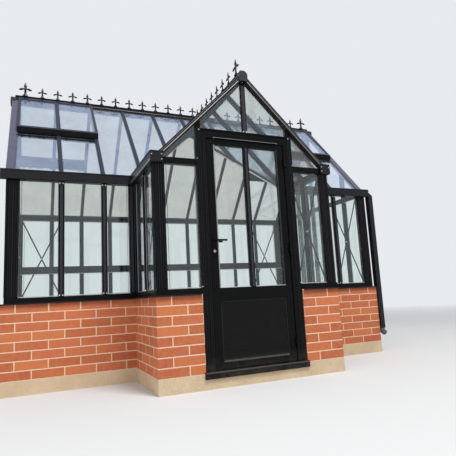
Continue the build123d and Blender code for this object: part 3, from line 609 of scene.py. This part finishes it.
wall_spines = bmesh.new()
gable_spines = bmesh.new()
gable_grooves = bmesh.new()
for node in ("long_mullions", "cross_mullions", "gable_mullions"):
    for points in solids(node):
        out = away(points, 1 - thin_axis(*corners(points)))
        foot, top = spine_line(points, out)
        if node == "gable_mullions":
            # a gable bar ends under the slope, so its wider spine stops short of it
            top -= Z * spine_width
            strip(gable_spines, foot, top, out, gable_spine_width, spine_proud, spine_soft)
            for share in (-groove_share, groove_share):
                shift = out.cross(Z) * gable_spine_width * share
                proud = spine_proud + 0.001
                strip(gable_grooves, foot + shift, top + shift, out, groove_width, proud)
        else:
            strip(wall_spines, foot, top, out, spine_width, spine_proud, spine_soft)
# the inner corner posts have the same clip on both faces that look outwards
posts_low, posts_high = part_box("corner_posts")
for side in (-1, 1):
    for x, y, out in ((0.8635, -1.030, -Y), (0.840, -1.0535, side * X)):
        foot = Vector((side * x, y, posts_low.z + spine_end))
        top = Vector((side * x, y, posts_high.z - spine_end))
        strip(wall_spines, foot, top, out, spine_width, spine_proud, spine_soft)
piece("wall_bar_spines", wall_spines, spine_sheen_coat)
piece("gable_bar_spines", gable_spines, cap_sheen_coat)
piece("gable_bar_grooves", gable_grooves, black_coat)

# %% [markdown]
# The rafters have the same spine. Their outer face looks along the roof's own outward
# direction, which the pitch gives: 48 degrees on the main roof and 45 on the porch.

# %% Spines on the rafters
main_pitch = radians(48)
porch_pitch = radians(45)
rafter_foot_gap = 0.02
rafter_top_gap = 0.03
roof_faces = {
    "front_rafters": (0, -sin(main_pitch), cos(main_pitch)),
    "back_rafters": (0, sin(main_pitch), cos(main_pitch)),
}
rafter_spines = bmesh.new()
for node in ("front_rafters", "back_rafters", "porch_rafters"):
    for points in solids(node):
        side = away(points, 0)
        out = Vector(roof_faces.get(node) or side * sin(porch_pitch) + Z * cos(porch_pitch))
        foot, top = spine_line(points, out)
        slope = (top - foot).normalized()
        foot += slope * rafter_foot_gap
        top -= slope * rafter_top_gap
        strip(rafter_spines, foot, top, out, width=0.018, proud=0.0035, soft=0.0012)
piece("rafter_spines", rafter_spines, roof_sheen_coat)

# %% [markdown]
# The corner posts are hollow extrusions with grooves down both outer faces. A groove reads
# as a dark line beside a pale edge, so slim ribs stand on the faces and the shadow between
# them does the rest. The ribs are a paler copy of the black coat, which paints a highlight
# on the pale edge. One sharper line runs up each face among them, paler still, a painted
# highlight. The two posts in the inner corners of the porch have no ribs. The four end posts
# also carry a cover plate on the gable side, which stands on the wall and finishes flush with
# the verge above.

# %% Covers and ribs on the corner posts
end_posts_from = 1.5
cap_thick = 0.002
cover_foot = wall_high.z + cap_thick
cover_proud = 0.016
post_covers = bmesh.new()
for points in solids("corner_posts"):
    low, high = corners(points)
    if abs(low.x) > end_posts_from:
        out = away(points, 0)
        foot = (low + high) / 2
        foot.x = outer(low, high, out, 0)
        foot.z = cover_foot
        top = foot.copy()
        top.z = high.z - 0.0005
        strip(post_covers, foot, top, out, width=high.y - low.y, proud=cover_proud, soft=0.002)
piece("corner_post_covers", post_covers, black_coat)

rib_shares = (0.12, 0.28, 0.66, 0.88)
line_share = 0.46
post_ribs = bmesh.new()
post_lines = bmesh.new()
for points in solids("corner_posts"):
    low, high = corners(points)
    at_inner_corner = abs(low.x) < 1.0 and low.y > past_wings
    for axis in () if at_inner_corner else (0, 1):
        out = away(points, axis)
        other = 1 - axis
        foot = Vector((0, 0, low.z + 0.01))
        foot[axis] = outer(low, high, out, axis)
        if axis == 0 and abs(low.x) > end_posts_from:
            foot[axis] += out[axis] * cover_proud
        for share in (*rib_shares, line_share):
            foot[other] = low[other] + share * (high[other] - low[other])
            top = foot.copy()
            top.z = high.z - 0.006
            if share == line_share:
                strip(post_lines, foot, top, out, width=0.003, proud=0.003, soft=0.0006)
            else:
                strip(post_ribs, foot, top, out, width=0.006, proud=0.0025, soft=0.0008)
piece("corner_post_ribs", post_ribs, rib_highlight_coat)
piece("corner_post_lines", post_lines, spine_sheen_coat)

# %% [markdown]
# The door stands between two flat posts and a frame of its own, both extrusions with ribs.
# The ribs run from the threshold to the head. The posts and the frame are in line, so the
# ribs only need their places along X. On the right the hinges stand where the two ribs of
# the frame would be, so these are on the left only.

# %% Ribs beside the door
door_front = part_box("door_posts")[0].y
rib_foot = 0.15
on_frame = ((0.388, 2.055), (0.404, 2.072))
on_posts = ((0.430, 2.13), (0.446, 2.13), (0.462, 2.13))
jamb_ribs = bmesh.new()
for side, ribs in ((-1, on_frame + on_posts), (1, on_posts)):
    for place, top in ribs:
        upright_strip(
            jamb_ribs, side * place, door_front, rib_foot, top, width=0.005, proud=0.002, soft=0.0007
        )
piece("door_jamb_ribs", jamb_ribs, rib_highlight_coat)

# %% [markdown]
# Panes rest on aluminium beads, which are left unpainted. Seen from low down they are the
# thin pale lines along the sills and beside the bars. A bead lies on the outer face of the
# pane along its foot and up both sides. The ones at the foot are bright, and the upright ones
# are duller copies of the same metal, which paints them in shade, most of all on the long walls.

# %% Glazing beads
bead_lift = 0.005
wide_pane = 0.2
clear_of_bar = 0.0175
clear_of_edge = 0.01
foot_beads = bmesh.new()
side_beads = {"long_wall_glass": bmesh.new(), "cross_wall_glass": bmesh.new()}
for node in side_beads:
    for points in solids(node):
        low, high = corners(points)
        axis = thin_axis(low, high)
        other = 1 - axis
        out = away(points, axis)
        start = low + Z * bead_lift
        start[axis] = outer(low, high, out, axis)
        stop = start.copy()
        stop[other] = high[other]
        strip(foot_beads, start, stop, out, width=0.007, proud=0.004, soft=0.0008)
        # the bar's cap laps a wide pane, so the bead stands just clear of the cap
        gap = clear_of_bar if high[other] - low[other] > wide_pane else clear_of_edge
        for end, inward in ((start, gap), (stop, -gap)):
            foot = end.copy()
            foot[other] += inward
            top = foot.copy()
            top.z = high.z - 0.004
            strip(side_beads[node], foot, top, out, width=0.0035, proud=0.003, soft=0.0006)
piece("sill_glazing_beads", foot_beads, raw_metal)
# the upright beads get duller metal: painted shade, deepest on the long walls
piece("long_wall_side_beads", side_beads["long_wall_glass"], weathered_and_shaded_metal)
piece("cross_wall_side_beads", side_beads["cross_wall_glass"], worn_and_shaded_metal)

# %% [markdown]
# The gutters are folded sheet with a rolled lip at the top and a small return at the foot.
# Both are beads along the outer face. The porch gutters also show a bright drip edge, and
# under the main ones lies a strip of the deepest black, a painted shade on their underside.

# %% Gutter lips and drips
lip_below_top = 0.008
return_height = 0.0045
drip_height = 0.018
gutter_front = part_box("porch_gutters")[0].y + 0.006
gutter_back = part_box("main_gutters")[0].y - 0.005
gutter_middle = 0.021
gutter_beads = bmesh.new()
gutter_shade_strips = bmesh.new()
drip_edges = bmesh.new()
for node, axis in (("main_gutters", 1), ("porch_gutters", 0)):
    for points in solids(node):
        low, high = corners(points)
        out = away(points, axis)
        if low.y > 0:
            # the back gutter is the rearmost part, and nothing stands proud of it
            continue
        start = low.copy()
        start[axis] = outer(low, high, out, axis)
        stop = start.copy()
        stop[1 - axis] = high[1 - axis]
        if node == "porch_gutters":
            start.y, stop.y = gutter_front, gutter_back
        lip = Z * (high.z - low.z - lip_below_top)
        strip(gutter_beads, start + lip, stop + lip, out, width=0.012, proud=0.004, soft=0.002)
        lip = Z * return_height
        strip(gutter_beads, start + lip, stop + lip, out, width=0.008, proud=0.003)
        if node == "porch_gutters":
            lip = Z * drip_height
            strip(drip_edges, start + lip, stop + lip, out, width=0.014, proud=0.002, soft=0.0008)
        else:
            # a strip darker than the gutter under it: painted shade on the underside
            inset = out * gutter_middle
            strip(gutter_shade_strips, start - inset, stop - inset, -Z, width=0.040, proud=0.002)
piece("gutter_lips", gutter_beads, gutter_coat)
piece("gutter_shade_strips", gutter_shade_strips, black_coat)
piece("porch_drip_edges", drip_edges, raw_metal)

# %% [markdown]
# The gable boards of the porch carry round mouldings with two lines of bare metal between
# them. The lines on the left board are bright; those on the right board are a duller copy of
# the same metal, which paints them in shade. All of them follow the roof down from the cap,
# each at its own depth below the roof's surface. The mouldings have the paler rib coat, a
# painted highlight.

# %% Mouldings on the gable boards
porch_apex = Vector((0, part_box("porch_verges")[0].y, 2.704))
board_start = 0.07
board_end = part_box("porch_gutters")[1].z
board_mouldings = bmesh.new()
pale_lines = bmesh.new()
shaded_lines = bmesh.new()
# the right board's lines get the duller metal: painted shade
for side, lines in ((-1, pale_lines), (1, shaded_lines)):
    down = Vector((side * cos(porch_pitch), 0, -sin(porch_pitch)))
    inwards = Vector((-side * sin(porch_pitch), 0, -cos(porch_pitch)))
    # from the roof downwards, each with its depth below it
    for shape, depth, width, proud in (
        (board_mouldings, 0.0045, 0.007, 0.004),
        (lines, 0.0130, 0.0035, 0.003),
        (board_mouldings, 0.0205, 0.0065, 0.004),
        (lines, 0.0290, 0.0075, 0.0035),
        (board_mouldings, 0.0400, 0.0090, 0.0045),
    ):
        top = porch_apex + inwards * depth
        foot = top + down * (top.z - board_end) / sin(porch_pitch)
        strip(shape, top + down * board_start, foot, -Y, width, proud, soft=0.0015)
piece("gable_board_mouldings", board_mouldings, rib_highlight_coat)
piece("gable_board_lines", pale_lines, raw_metal)
piece("gable_board_dull_lines", shaded_lines, worn_and_shaded_metal)

# %% [markdown]
# Under the porch roof each valley bar has a bright metal strip along its underside, a painted
# highlight of its sunlit edge, which shows through the door's glass. A valley bar's lowest
# corners at both ends give its underside.

# %% Valley edges
valley_lift = 0.005
valley_foot_gap = 0.03
valley_top_gap = 0.05
valley_edge_highlights = bmesh.new()
for points in solids("valley_bars"):
    foot = min(points, key=lambda p: (round(p.z, 3), p.y))
    middle = min(abs(p.x) for p in points)
    top = min((p for p in points if abs(p.x) < middle + 0.001), key=lambda p: p.z)
    along = (top - foot).normalized()
    out = along.cross(Z)
    out = (out if out.y < 0 else -out).normalized()
    upwards = out.cross(along)
    lift = upwards * (valley_lift if upwards.z > 0 else -valley_lift)
    foot += along * valley_foot_gap + lift
    top += lift - along * valley_top_gap
    # the strip is a painted highlight of the sunlit lower edge
    strip(valley_edge_highlights, foot, top, out, width=0.009, proud=0.003, soft=0.0008)
piece("valley_edge_highlights", valley_edge_highlights, raw_metal)

# %% [markdown]
# Screws and small bolts hold the frame together. Each is a low round washer with a short
# tapered head on it, which has twelve sides on a screw and six on a bolt. They are repeated
# many times, so each has only a few dozen faces.

# %% Screws and bolts
bolt_sides = 6
bolts_along = (0.24, 0.76)


def screw(shape, at, out, radius, height, sides=12):
    turn = out.to_track_quat("Z", "Y").to_matrix().to_4x4()
    for wide, low, high in ((1.5, -sunk, height * 0.3), (1.0, height * 0.3, height)):
        bmesh.ops.create_cone(
            shape,
            cap_ends=True,
            segments=sides if wide == 1.0 else 12,
            radius1=radius * wide,
            radius2=radius * wide * 0.82,
            depth=high - low,
            matrix=Matrix.Translation(at + out * (low + high) / 2) @ turn,
        )


bar_bolts = bmesh.new()
for node in ("long_mullions", "cross_mullions"):
    for points in solids(node):
        low, high = corners(points)
        axis = 1 - thin_axis(low, high)
        out = away(points, axis)
        for level in (low.z + 0.010, high.z - 0.014):
            for share in bolts_along:
                at = low.lerp(high, share)
                at[axis] = outer(low, high, out, axis)
                at.z = level
                screw(bar_bolts, at, out, radius=0.0052, height=0.006, sides=bolt_sides)
piece("wall_bar_bolts", bar_bolts, zinc_metal)

# %% [markdown]
# The porch front has screws of its own. Half of them are given here, and the loop sets the
# other half across X. Each ridge cap has two more, one on either side of the ridge.

# %% Screws on the porch front
plate_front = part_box("porch_gutters")[0].y
porch_screws = bmesh.new()
for x, y, z, radius in (
    # the ends of the gutters
    (0.858, plate_front, 1.872, 0.0040),
    (0.775, plate_front, 1.876, 0.0040),
    (0.775, plate_front, 1.834, 0.0040),
    # the heads and feet of the door posts
    (0.440, door_front, 2.128, 0.0055),
    (0.462, door_front, 1.870, 0.0040),
    (0.462, door_front, 0.800, 0.0040),
    # the foot of the bar in the gable
    (0.012, door_front, 2.152, 0.0055),
    (0.016, door_front, 2.140, 0.0050),
):
    for side in (-1, 1):
        screw(porch_screws, Vector((side * x, y, z)), -Y, radius, height=0.005)
piece("porch_screws", porch_screws, zinc_metal)

caps_low, caps_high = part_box("ridge_caps")
porch_cap_level, main_cap_level = 2.664, 2.968
cap_screws = bmesh.new()
for aside in (-0.018, 0.018):
    at = Vector((aside, caps_low.y + 0.003, porch_cap_level))
    screw(cap_screws, at, -Y, radius=0.0050, height=0.003)
    for end in (-1, 1):
        at = Vector((end * caps_high.x, aside, main_cap_level))
        screw(cap_screws, at, end * X, radius=0.0050, height=0.004)
piece("ridge_cap_screws", cap_screws, weathered_and_shaded_metal)

# %% [markdown]
# Where two wind braces cross, a bright bolt ties them, with a head on both sides. Each pair
# is one solid, so the middle of its box is the crossing.

# %% Bolts on the wind braces
brace_bolts = bmesh.new()
for points in solids("wind_braces"):
    low, high = corners(points)
    axis = thin_axis(low, high)
    for side in (-1, 1):
        out = Vector((0, 0, 0))
        out[axis] = side
        at = (low + high) / 2
        at[axis] = outer(low, high, out, axis)
        screw(brace_bolts, at, out, radius=0.0075, height=0.008, sides=bolt_sides)
piece("wind_brace_bolts", brace_bolts, zinc_metal)

# %% [markdown]
# A folded metal flashing caps the brickwork and throws the rain clear of it. Its lip hangs
# over the top course, keeps it in shade, and shows as a thin pale line. At the gable ends the
# wall is wider than the sill, so there the flashing also lies flat on the bricks.

# %% Flashing on top of the brickwork
lip_proud = 0.014
lip_high = 0.010
lip_level = wall_high.z - 0.001
corner_gap = 0.0005
beside_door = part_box("door_frame")[1].x + 0.004
behind_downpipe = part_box("downpipe")[1].y + 0.005
porch_side, porch_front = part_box("porch_base")[1].x, wall_low.y
wall_end, wall_back = wall_high.x, wall_high.y
sill_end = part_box("long_sills")[1].x
cap_width = wall_end - 0.001 - sill_end
flashing = bmesh.new()


def lip(x0, y0, x1, y1, out):
    start, stop = Vector((x0, y0, lip_level)), Vector((x1, y1, lip_level))
    strip(flashing, start, stop, out, lip_high, lip_proud)


for side in (-1, 1):
    corner = side * (wall_end - corner_gap)
    lip(side * beside_door, porch_front, side * porch_side, porch_front, -Y)
    lip(side * porch_side, porch_front - lip_proud, side * porch_side, wings_front, side * X)
    lip(side * (porch_side + lip_proud), wings_front, corner, wings_front, -Y)
    # the left end is made like the right one, where the lip starts behind the downpipe
    lip(side * wall_end, behind_downpipe, side * wall_end, wall_back, side * X)
    start = Vector((side * (sill_end + cap_width / 2), wings_front + corner_gap, wall_high.z))
    stop = start + Y * (wall_back - wings_front - 2 * corner_gap)
    strip(flashing, start, stop, Z, width=cap_width, proud=cap_thick)
lip(-wall_end, wall_back, wall_end, wall_back, Y)
piece("wall_flashing", flashing, gutter_coat)

# %% [markdown]
# The rail along the back wall has a lip that hangs below its front, with a bare edge that
# shines through the panes.

# %% Lip of the back rail
rail_low, rail_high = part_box("back_rail")
left, right = rail_low.x + 0.002, rail_high.x - 0.002
rail_lip = bmesh.new()
level_strip(rail_lip, left, right, rail_low.y, rail_low.z - 0.006, width=0.030, proud=0.006)
rail_edge = bmesh.new()
level_strip(rail_edge, left, right, rail_low.y, rail_low.z - 0.0235, width=0.007, proud=0.009)
piece("back_rail_lip", rail_lip, black_coat)
piece("back_rail_edge", rail_edge, raw_metal)

# %% [markdown]
# The lower edge of each roof vent is a deep flange, painted a true black. A rubber storm
# seal lies on the glass below it, held by small clips. The clips are not evenly spaced, as
# the fitter left them. The glass is a plane, so its outward direction and its distance from
# the middle of the building give the height of any point on it.

# %% Flanges, seals and clips of the vents
clip_places = (0.05, 0.12, 0.21, 0.25, 0.36, 0.46, 0.70, 0.745)
clip_long = 0.046
clip_foot_from = 0.036
seal_below = 0.021
edge_behind = 0.002
glass_face = {}
for side, node in ((-1, "front_roof_glass"), (1, "back_roof_glass")):
    normal = Vector((0, side * sin(main_pitch), cos(main_pitch)))
    furthest = max(p.dot(normal) for points in solids(node) for p in points)
    glass_face[side] = (normal, furthest)

vent_flanges = bmesh.new()
vent_clips = bmesh.new()
vent_seals = bmesh.new()
for points in solids("roof_vents"):
    low, high = corners(points)
    side = 1 if high.y > 0 else -1
    face = high.y if side > 0 else low.y
    levels = [p.z for p in points if abs(p.y - face) < same_level]
    start = Vector((low.x, face, (min(levels) + max(levels)) / 2))
    stop = start.copy()
    stop.x = high.x
    strip(vent_flanges, start, stop, side * Y, width=max(levels) - min(levels), proud=0.003)
    normal, furthest = glass_face[side]
    down = Vector((0, side * cos(main_pitch), -sin(main_pitch)))
    y = face - side * edge_behind
    z = (furthest - y * normal.y) / normal.z
    for place in clip_places:
        top = Vector((low.x + place if low.x < 0 else high.x - place, y, z))
        foot = top + down * clip_long
        strip(vent_clips, top, foot, normal, width=0.014, proud=0.006)
        strip(vent_clips, top + down * clip_foot_from, foot, normal, width=0.022, proud=0.008)
    start = Vector((low.x, y, z)) + down * seal_below
    stop = Vector((high.x, y, z)) + down * seal_below
    strip(vent_seals, start, stop, normal, width=0.022, proud=0.005)
piece("vent_flange_faces", vent_flanges, black_coat)
piece("vent_seals", vent_seals, black_coat)
piece("vent_clips", vent_clips, black_coat)

# %% [markdown]
# Now the door. Its glass sits in rebates, with a bead of worn metal up the lock side and a
# painted one up the hinge side. The ledge of the middle rail is bare metal. The ledge of the
# bottom rail is grey, partly where boots have scuffed it and partly as a painted highlight
# along its top edge. A weather bar is fixed to the frame above the leaf, so it stays behind
# when the door opens.

# %% Beads and ledges of the door
leaf_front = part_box("door_leaf")[0].y
glass_low, glass_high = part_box("leaf_glass")
panel_low, panel_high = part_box("leaf_panel")
glass_gap = 0.0005
light_half = glass_high.x + glass_gap
light_low, light_high = glass_low.z - glass_gap, glass_high.z + glass_gap
bar_half = 0.026
mid_ledge = bmesh.new()
for left, right in ((-light_half + 0.004, -bar_half), (bar_half, light_half)):
    level_strip(mid_ledge, left, right, leaf_front, glass_low.z, width=0.006, proud=0.003)
piece("door_mid_ledge", mid_ledge, raw_metal, "door")

left, right, level = panel_low.x + 0.0035, panel_high.x - 0.0035, panel_low.z - 0.008
kick_ledge = bmesh.new()
level_strip(kick_ledge, left, right, leaf_front, level, width=0.016, proud=0.006, soft=0.004)
piece("door_kick_ledge", kick_ledge, scuffed_highlight_coat, "door")

for name, x, coat in (
    ("door_left_bead", -light_half + 0.0035, worn_and_shaded_metal),
    ("door_right_bead", light_half - 0.002, spine_sheen_coat),
):
    bead = bmesh.new()
    upright_strip(
        bead, x, leaf_front, light_low, light_high, width=0.0085, proud=0.0025, soft=0.0006
    )
    piece(name, bead, coat, "door")

bar_end = light_half + 0.003
bar_low, bar_top = 2.058, 2.070
weather_bar = bmesh.new()
for level, width, proud in ((2.0670, 0.0045, 0.009), (2.0665, 0.002, 0.011)):
    level_strip(weather_bar, -bar_end, bar_end, door_front, level, width=width, proud=proud)
for x in (-light_half, light_half):
    upright_strip(weather_bar, x, door_front, bar_low, bar_top, width=0.006, proud=0.010)
piece("weather_bar", weather_bar, worn_and_shaded_metal)

# %% [markdown]
# The door frame has a ledge along its head, just under the gable glass, and the threshold
# has a rounded nosing, pale partly where boots have rubbed it and partly as a painted
# highlight along its edge.

# %% Ledge of the head and nosing of the threshold
nosings = bmesh.new()
for level, half, width, proud in ((2.137, 0.468, 0.008, 0.010), (2.100, 0.420, 0.004, 0.004)):
    level_strip(nosings, -half, half, door_front, level, width=width, proud=proud, soft=0.0015)
piece("frame_nosings", nosings, rib_highlight_coat)

frame_low, frame_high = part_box("door_frame")
left, right, level = frame_low.x + 0.004, frame_high.x - 0.004, 0.126
threshold_nosing = bmesh.new()
level_strip(
    threshold_nosing, left, right, frame_low.y, level, width=0.011, proud=0.004, soft=0.0015
)
piece("threshold_nosing", threshold_nosing, scuffed_highlight_coat)

# %% [markdown]
# A small moulding runs round the kick panel in the corner of its frame, and a black rubber
# seal stands behind the edges of the leaf, fixed to the door frame. The leaf closes against
# the seal, and both keep daylight out of the gaps. Each is four strips around a box.

# %% Panel moulding and door seals


def border(shape, low, high, y, grow, inset, **sizes):
    """Strips around the front of a box grown on all sides, their middles inset from its rim."""
    left, right = low.x - grow, high.x + grow
    foot, top = low.z - grow, high.z + grow
    for x in (left + inset, right - inset):
        upright_strip(shape, x, y, foot, top, **sizes)
    for z in (foot + inset, top - inset):
        level_strip(shape, left, right, y, z, **sizes)


moulding = bmesh.new()
border(
    moulding,
    panel_low,
    panel_high,
    panel_low.y,
    grow=0.0008,
    inset=0.0045,
    width=0.009,
    proud=0.006,
    soft=0.002,
)
piece("kick_panel_moulding", moulding, olive_coat, "door")

leaf_low, leaf_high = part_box("door_leaf")
seal_face = leaf_high.y + 0.0065
seals = bmesh.new()
border(seals, leaf_low, leaf_high, seal_face, grow=0.004, inset=0.0035, width=0.009, proud=0.0055)
piece("door_seals", seals, black_coat)

# %% [markdown]
# The kick panel is pressed with fine level ribs, which are hardly a millimetre high and only
# show as a faint ladder of light. Above it, a slim moulding runs up the bar that splits the
# door's glass in two.

# %% Ribs of the kick panel and spine of the centre bar
rib_step = 0.027
first_rib = panel_low.z + 0.018
rib_count = int((panel_high.z - panel_low.z - 0.03) / rib_step) + 1
left, right, face = panel_low.x + 0.012, panel_high.x - 0.012, panel_low.y
panel_ribs = bmesh.new()
for k in range(rib_count):
    level = first_rib + k * rib_step
    level_strip(panel_ribs, left, right, face, level, width=0.016, proud=0.0008, soft=0.0004)
piece("kick_panel_ribs", panel_ribs, panel_coat, "door")

foot, top = light_low + 0.002, light_high - 0.002
centre_spine = bmesh.new()
upright_strip(centre_spine, 0, leaf_front, foot, top, width=0.020, proud=0.004, soft=0.0015)
piece("door_centre_spine", centre_spine, spine_sheen_coat, "door")

# %% [markdown]
# The lock has a bright cylinder under the lever: a round barrel with a dark slot for the
# key. The barrel is a cone with nearly equal ends, and the slot is a thin black strip on it.

# %% Lock cylinder
barrel_long = 0.009
handles_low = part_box("door_handles")[0]
lock_at = Vector((handles_low.x + 0.015, leaf_front - 0.006, handles_low.z + 0.037))
lock_barrel = bmesh.new()
screw(lock_barrel, lock_at, -Y, radius=0.0085, height=barrel_long, sides=24)
piece("lock_cylinder", lock_barrel, raw_metal, "door")
key_slot = bmesh.new()
x, face, level = lock_at - Y * barrel_long
foot, top = level - 0.005, level + 0.005
upright_strip(key_slot, x, face, foot, top, width=0.0022, proud=0.0006, soft=0.0002)
piece("key_slot", key_slot, black_coat, "door")

# %% [markdown]
# Each hinge is screwed to the leaf with two screws and to the frame with two. The heights
# of the hinge plates come from their solids.

# %% Hinge screws
plate_thick = 0.003
screw_from_end = 0.018
for node, body, x, face in (
    ("hinge_leaves", "door", 0.345, leaf_front),
    ("hinge_brackets", "building", 0.406, door_front),
):
    hinge_screws = bmesh.new()
    for points in solids(node):
        low, high = corners(points)
        for level in (low.z + screw_from_end, high.z - screw_from_end):
            at = Vector((x, face - plate_thick, level))
            screw(hinge_screws, at, -Y, radius=0.0038, height=0.003)
    piece(node[:-1] + "_screws", hinge_screws, rib_highlight_coat, body)

# %% [markdown]
# Each finial of the cresting is a small casting, not a cut plate: a lance head that swells
# in the middle, a collar, two drooping arms with knobs at their tips, and a flared foot. The
# CAD plate carries this relief. The tips are the plate's highest points, so the places of
# the finials are read from its corners, and the small ones are 0.74 of the tall ones.

# %% Castings on the finials
finial_tall = 0.163
finial_small = 0.74
flatness = 0.55
arm_line = ((0.006, 0.083), (0.024, 0.0875), (0.044, 0.0845), (0.059, 0.0735))
arm_behind = 0.004
castings = bmesh.new()


def casting(tip, side, scale):
    """The relief of one finial, whose plate runs along side and ends at tip."""
    foot = tip - Z * finial_tall * scale
    front = Z.cross(side)
    turn = Matrix((side, front, Z)).transposed().to_4x4() @ Matrix.Diagonal((1, flatness, 1, 1))
    # the foot, the lower and upper half of the lance head, and the collar under it
    for low, high, wide, narrow in (
        (0.000, 0.034, 0.030, 0.0125),
        (0.096, 0.117, 0.0095, 0.0185),
        (0.117, 0.160, 0.0185, 0.0015),
        (0.076, 0.094, 0.0140, 0.0120),
    ):
        bmesh.ops.create_cone(
            castings,
            cap_ends=True,
            segments=8,
            radius1=wide * scale,
            radius2=narrow * scale,
            depth=(high - low) * scale,
            matrix=Matrix.Translation(foot + Z * (low + high) / 2 * scale) @ turn,
        )
    for way in (-1, 1):
        line = [foot + (side * way * along + Z * up) * scale for along, up in arm_line]
        back = front * arm_behind
        for start, stop in zip(line, line[1:]):
            wide = 0.0145 * scale
            strip(castings, start + back, stop + back, -front, wide, proud=0.008, soft=0.002)
        knob = Matrix.Translation(line[-1]) @ turn
        bmesh.ops.create_uvsphere(
            castings, u_segments=6, v_segments=4, radius=0.0095 * scale, matrix=knob
        )


finials = 0
for points in solids("ridge_cresting"):
    low, high = corners(points)
    side = X if thin_axis(low, high) == 1 else Y
    for scale, drop in ((1.0, 0.0), (finial_small, finial_tall * (1 - finial_small))):
        level = high.z - drop
        tips = {round(p.dot(side), 3) for p in points if abs(p.z - level) < same_level}
        for place in tips:
            casting(side * place + Z * level, side, scale)
            finials += 1
piece("finial_castings", castings, casting_coat)
print("finials:", finials)

# %% [markdown]
# The camera stands low in front of the porch's left side, where the photograph was taken
# from. Its place and turn were worked out from the building's straight edges in it, so they
# are given as numbers.

# %% Camera
eye = Vector((-1.7279, -5.2159, 0.7038))
yaw, pitch, roll = radians(23.8729), radians(8.753), radians(-3.0423)
camera_data = bpy.data.cameras.new("camera")
camera = bpy.data.objects.new("camera", camera_data)
bpy.context.scene.collection.objects.link(camera)
camera_data.lens = 35.48
camera_data.sensor_width = 36.0
camera_data.sensor_fit = "HORIZONTAL"
camera_data.clip_end = 200.0
ahead = Vector((sin(yaw) * cos(pitch), cos(yaw) * cos(pitch), sin(pitch)))
level = Vector((cos(yaw), -sin(yaw), 0.0))
raised = level.cross(ahead)
right = level * cos(roll) + raised * sin(roll)
up = raised * cos(roll) - level * sin(roll)
turn = Matrix((right, up, -ahead)).transposed().to_4x4()
camera.matrix_world = Matrix.Translation(eye) @ turn
bpy.context.scene.camera = camera
print("the camera stands", round(eye.length, 2), "m from the middle of the greenhouse")

# %% [markdown]
# The greenhouse stands on a plain pale floor that fades away with distance, so no horizon
# cuts through the picture. The floor is clear where its Alpha is 0, which the distance from
# the middle gives.

# %% Floor
floor_end = 15.0
floor_fade = 9.0
floor_mesh = bpy.data.meshes.new("floor")
floor_shape = bmesh.new()
bmesh.ops.create_grid(floor_shape, x_segments=1, y_segments=1, size=60.0)
floor_shape.to_mesh(floor_mesh)
floor_shape.free()
floor = bpy.data.objects.new("floor", floor_mesh)
bpy.context.scene.collection.objects.link(floor)
pale = new_finish("pale_floor")
far = pale.node("VectorMath", {"operation": "LENGTH"}, out="Value", Vector=pale.place())
paper = pale.node(
    "BsdfPrincipled",
    Base_Color=(0.62, 0.62, 0.615),
    Roughness=1.0,
    Specular_IOR_Level=0.0,
    Alpha=((floor_end - far) / floor_fade).clamp(),
)
floor_mesh.materials.append(pale.surface(paper))
print("the floor is solid up to", floor_end - floor_fade, "m and gone at", floor_end, "m")

# %% [markdown]
# The light is a soft sky and two lamps. The large lamp high in front is a veiled sun: it
# keeps the top course of bricks in the shade of the flashing and the left side of the porch
# darker than its front. A weaker lamp on the left fills the shade. The eye, mirrors and
# glass see a paler sky than the one that lights the bricks.

# %% Sky and lamps
sky_light = 0.62
sky_seen_more = 0.24
sky = Finish(bpy.data.worlds.new("soft_sky"), output="OutputWorld")
seen = sky.node("LightPath", out="Is Camera Ray")
for kind in ("Is Glossy Ray", "Is Transmission Ray"):
    seen = seen.math("MAXIMUM", sky.node("LightPath", out=kind))
bpy.context.scene.world = sky.surface(
    sky.node("Background", Color=(0.93, 0.96, 1.0), Strength=seen * sky_seen_more + sky_light)
)


def lamp(name, place, aim, size, power):
    data = bpy.data.lights.new(name, "AREA")
    data.shape = "SQUARE"
    data.size = size
    data.energy = power
    thing = bpy.data.objects.new(name, data)
    bpy.context.scene.collection.objects.link(thing)
    thing.location = place
    thing.rotation_euler = (Vector(aim) - Vector(place)).to_track_quat("-Z", "Y").to_euler()
    print(name, "is", size, "m wide and gives", power, "watts")


lamp("key_lamp", (1.2, -6.5, 11.0), aim=(0, -1.0, 1.0), size=3.0, power=1150.0)
lamp("side_lamp", (-7.0, -7.0, 4.0), aim=(0, -0.5, 1.2), size=5.0, power=220.0)
bpy.context.scene.view_settings.view_transform = "Standard"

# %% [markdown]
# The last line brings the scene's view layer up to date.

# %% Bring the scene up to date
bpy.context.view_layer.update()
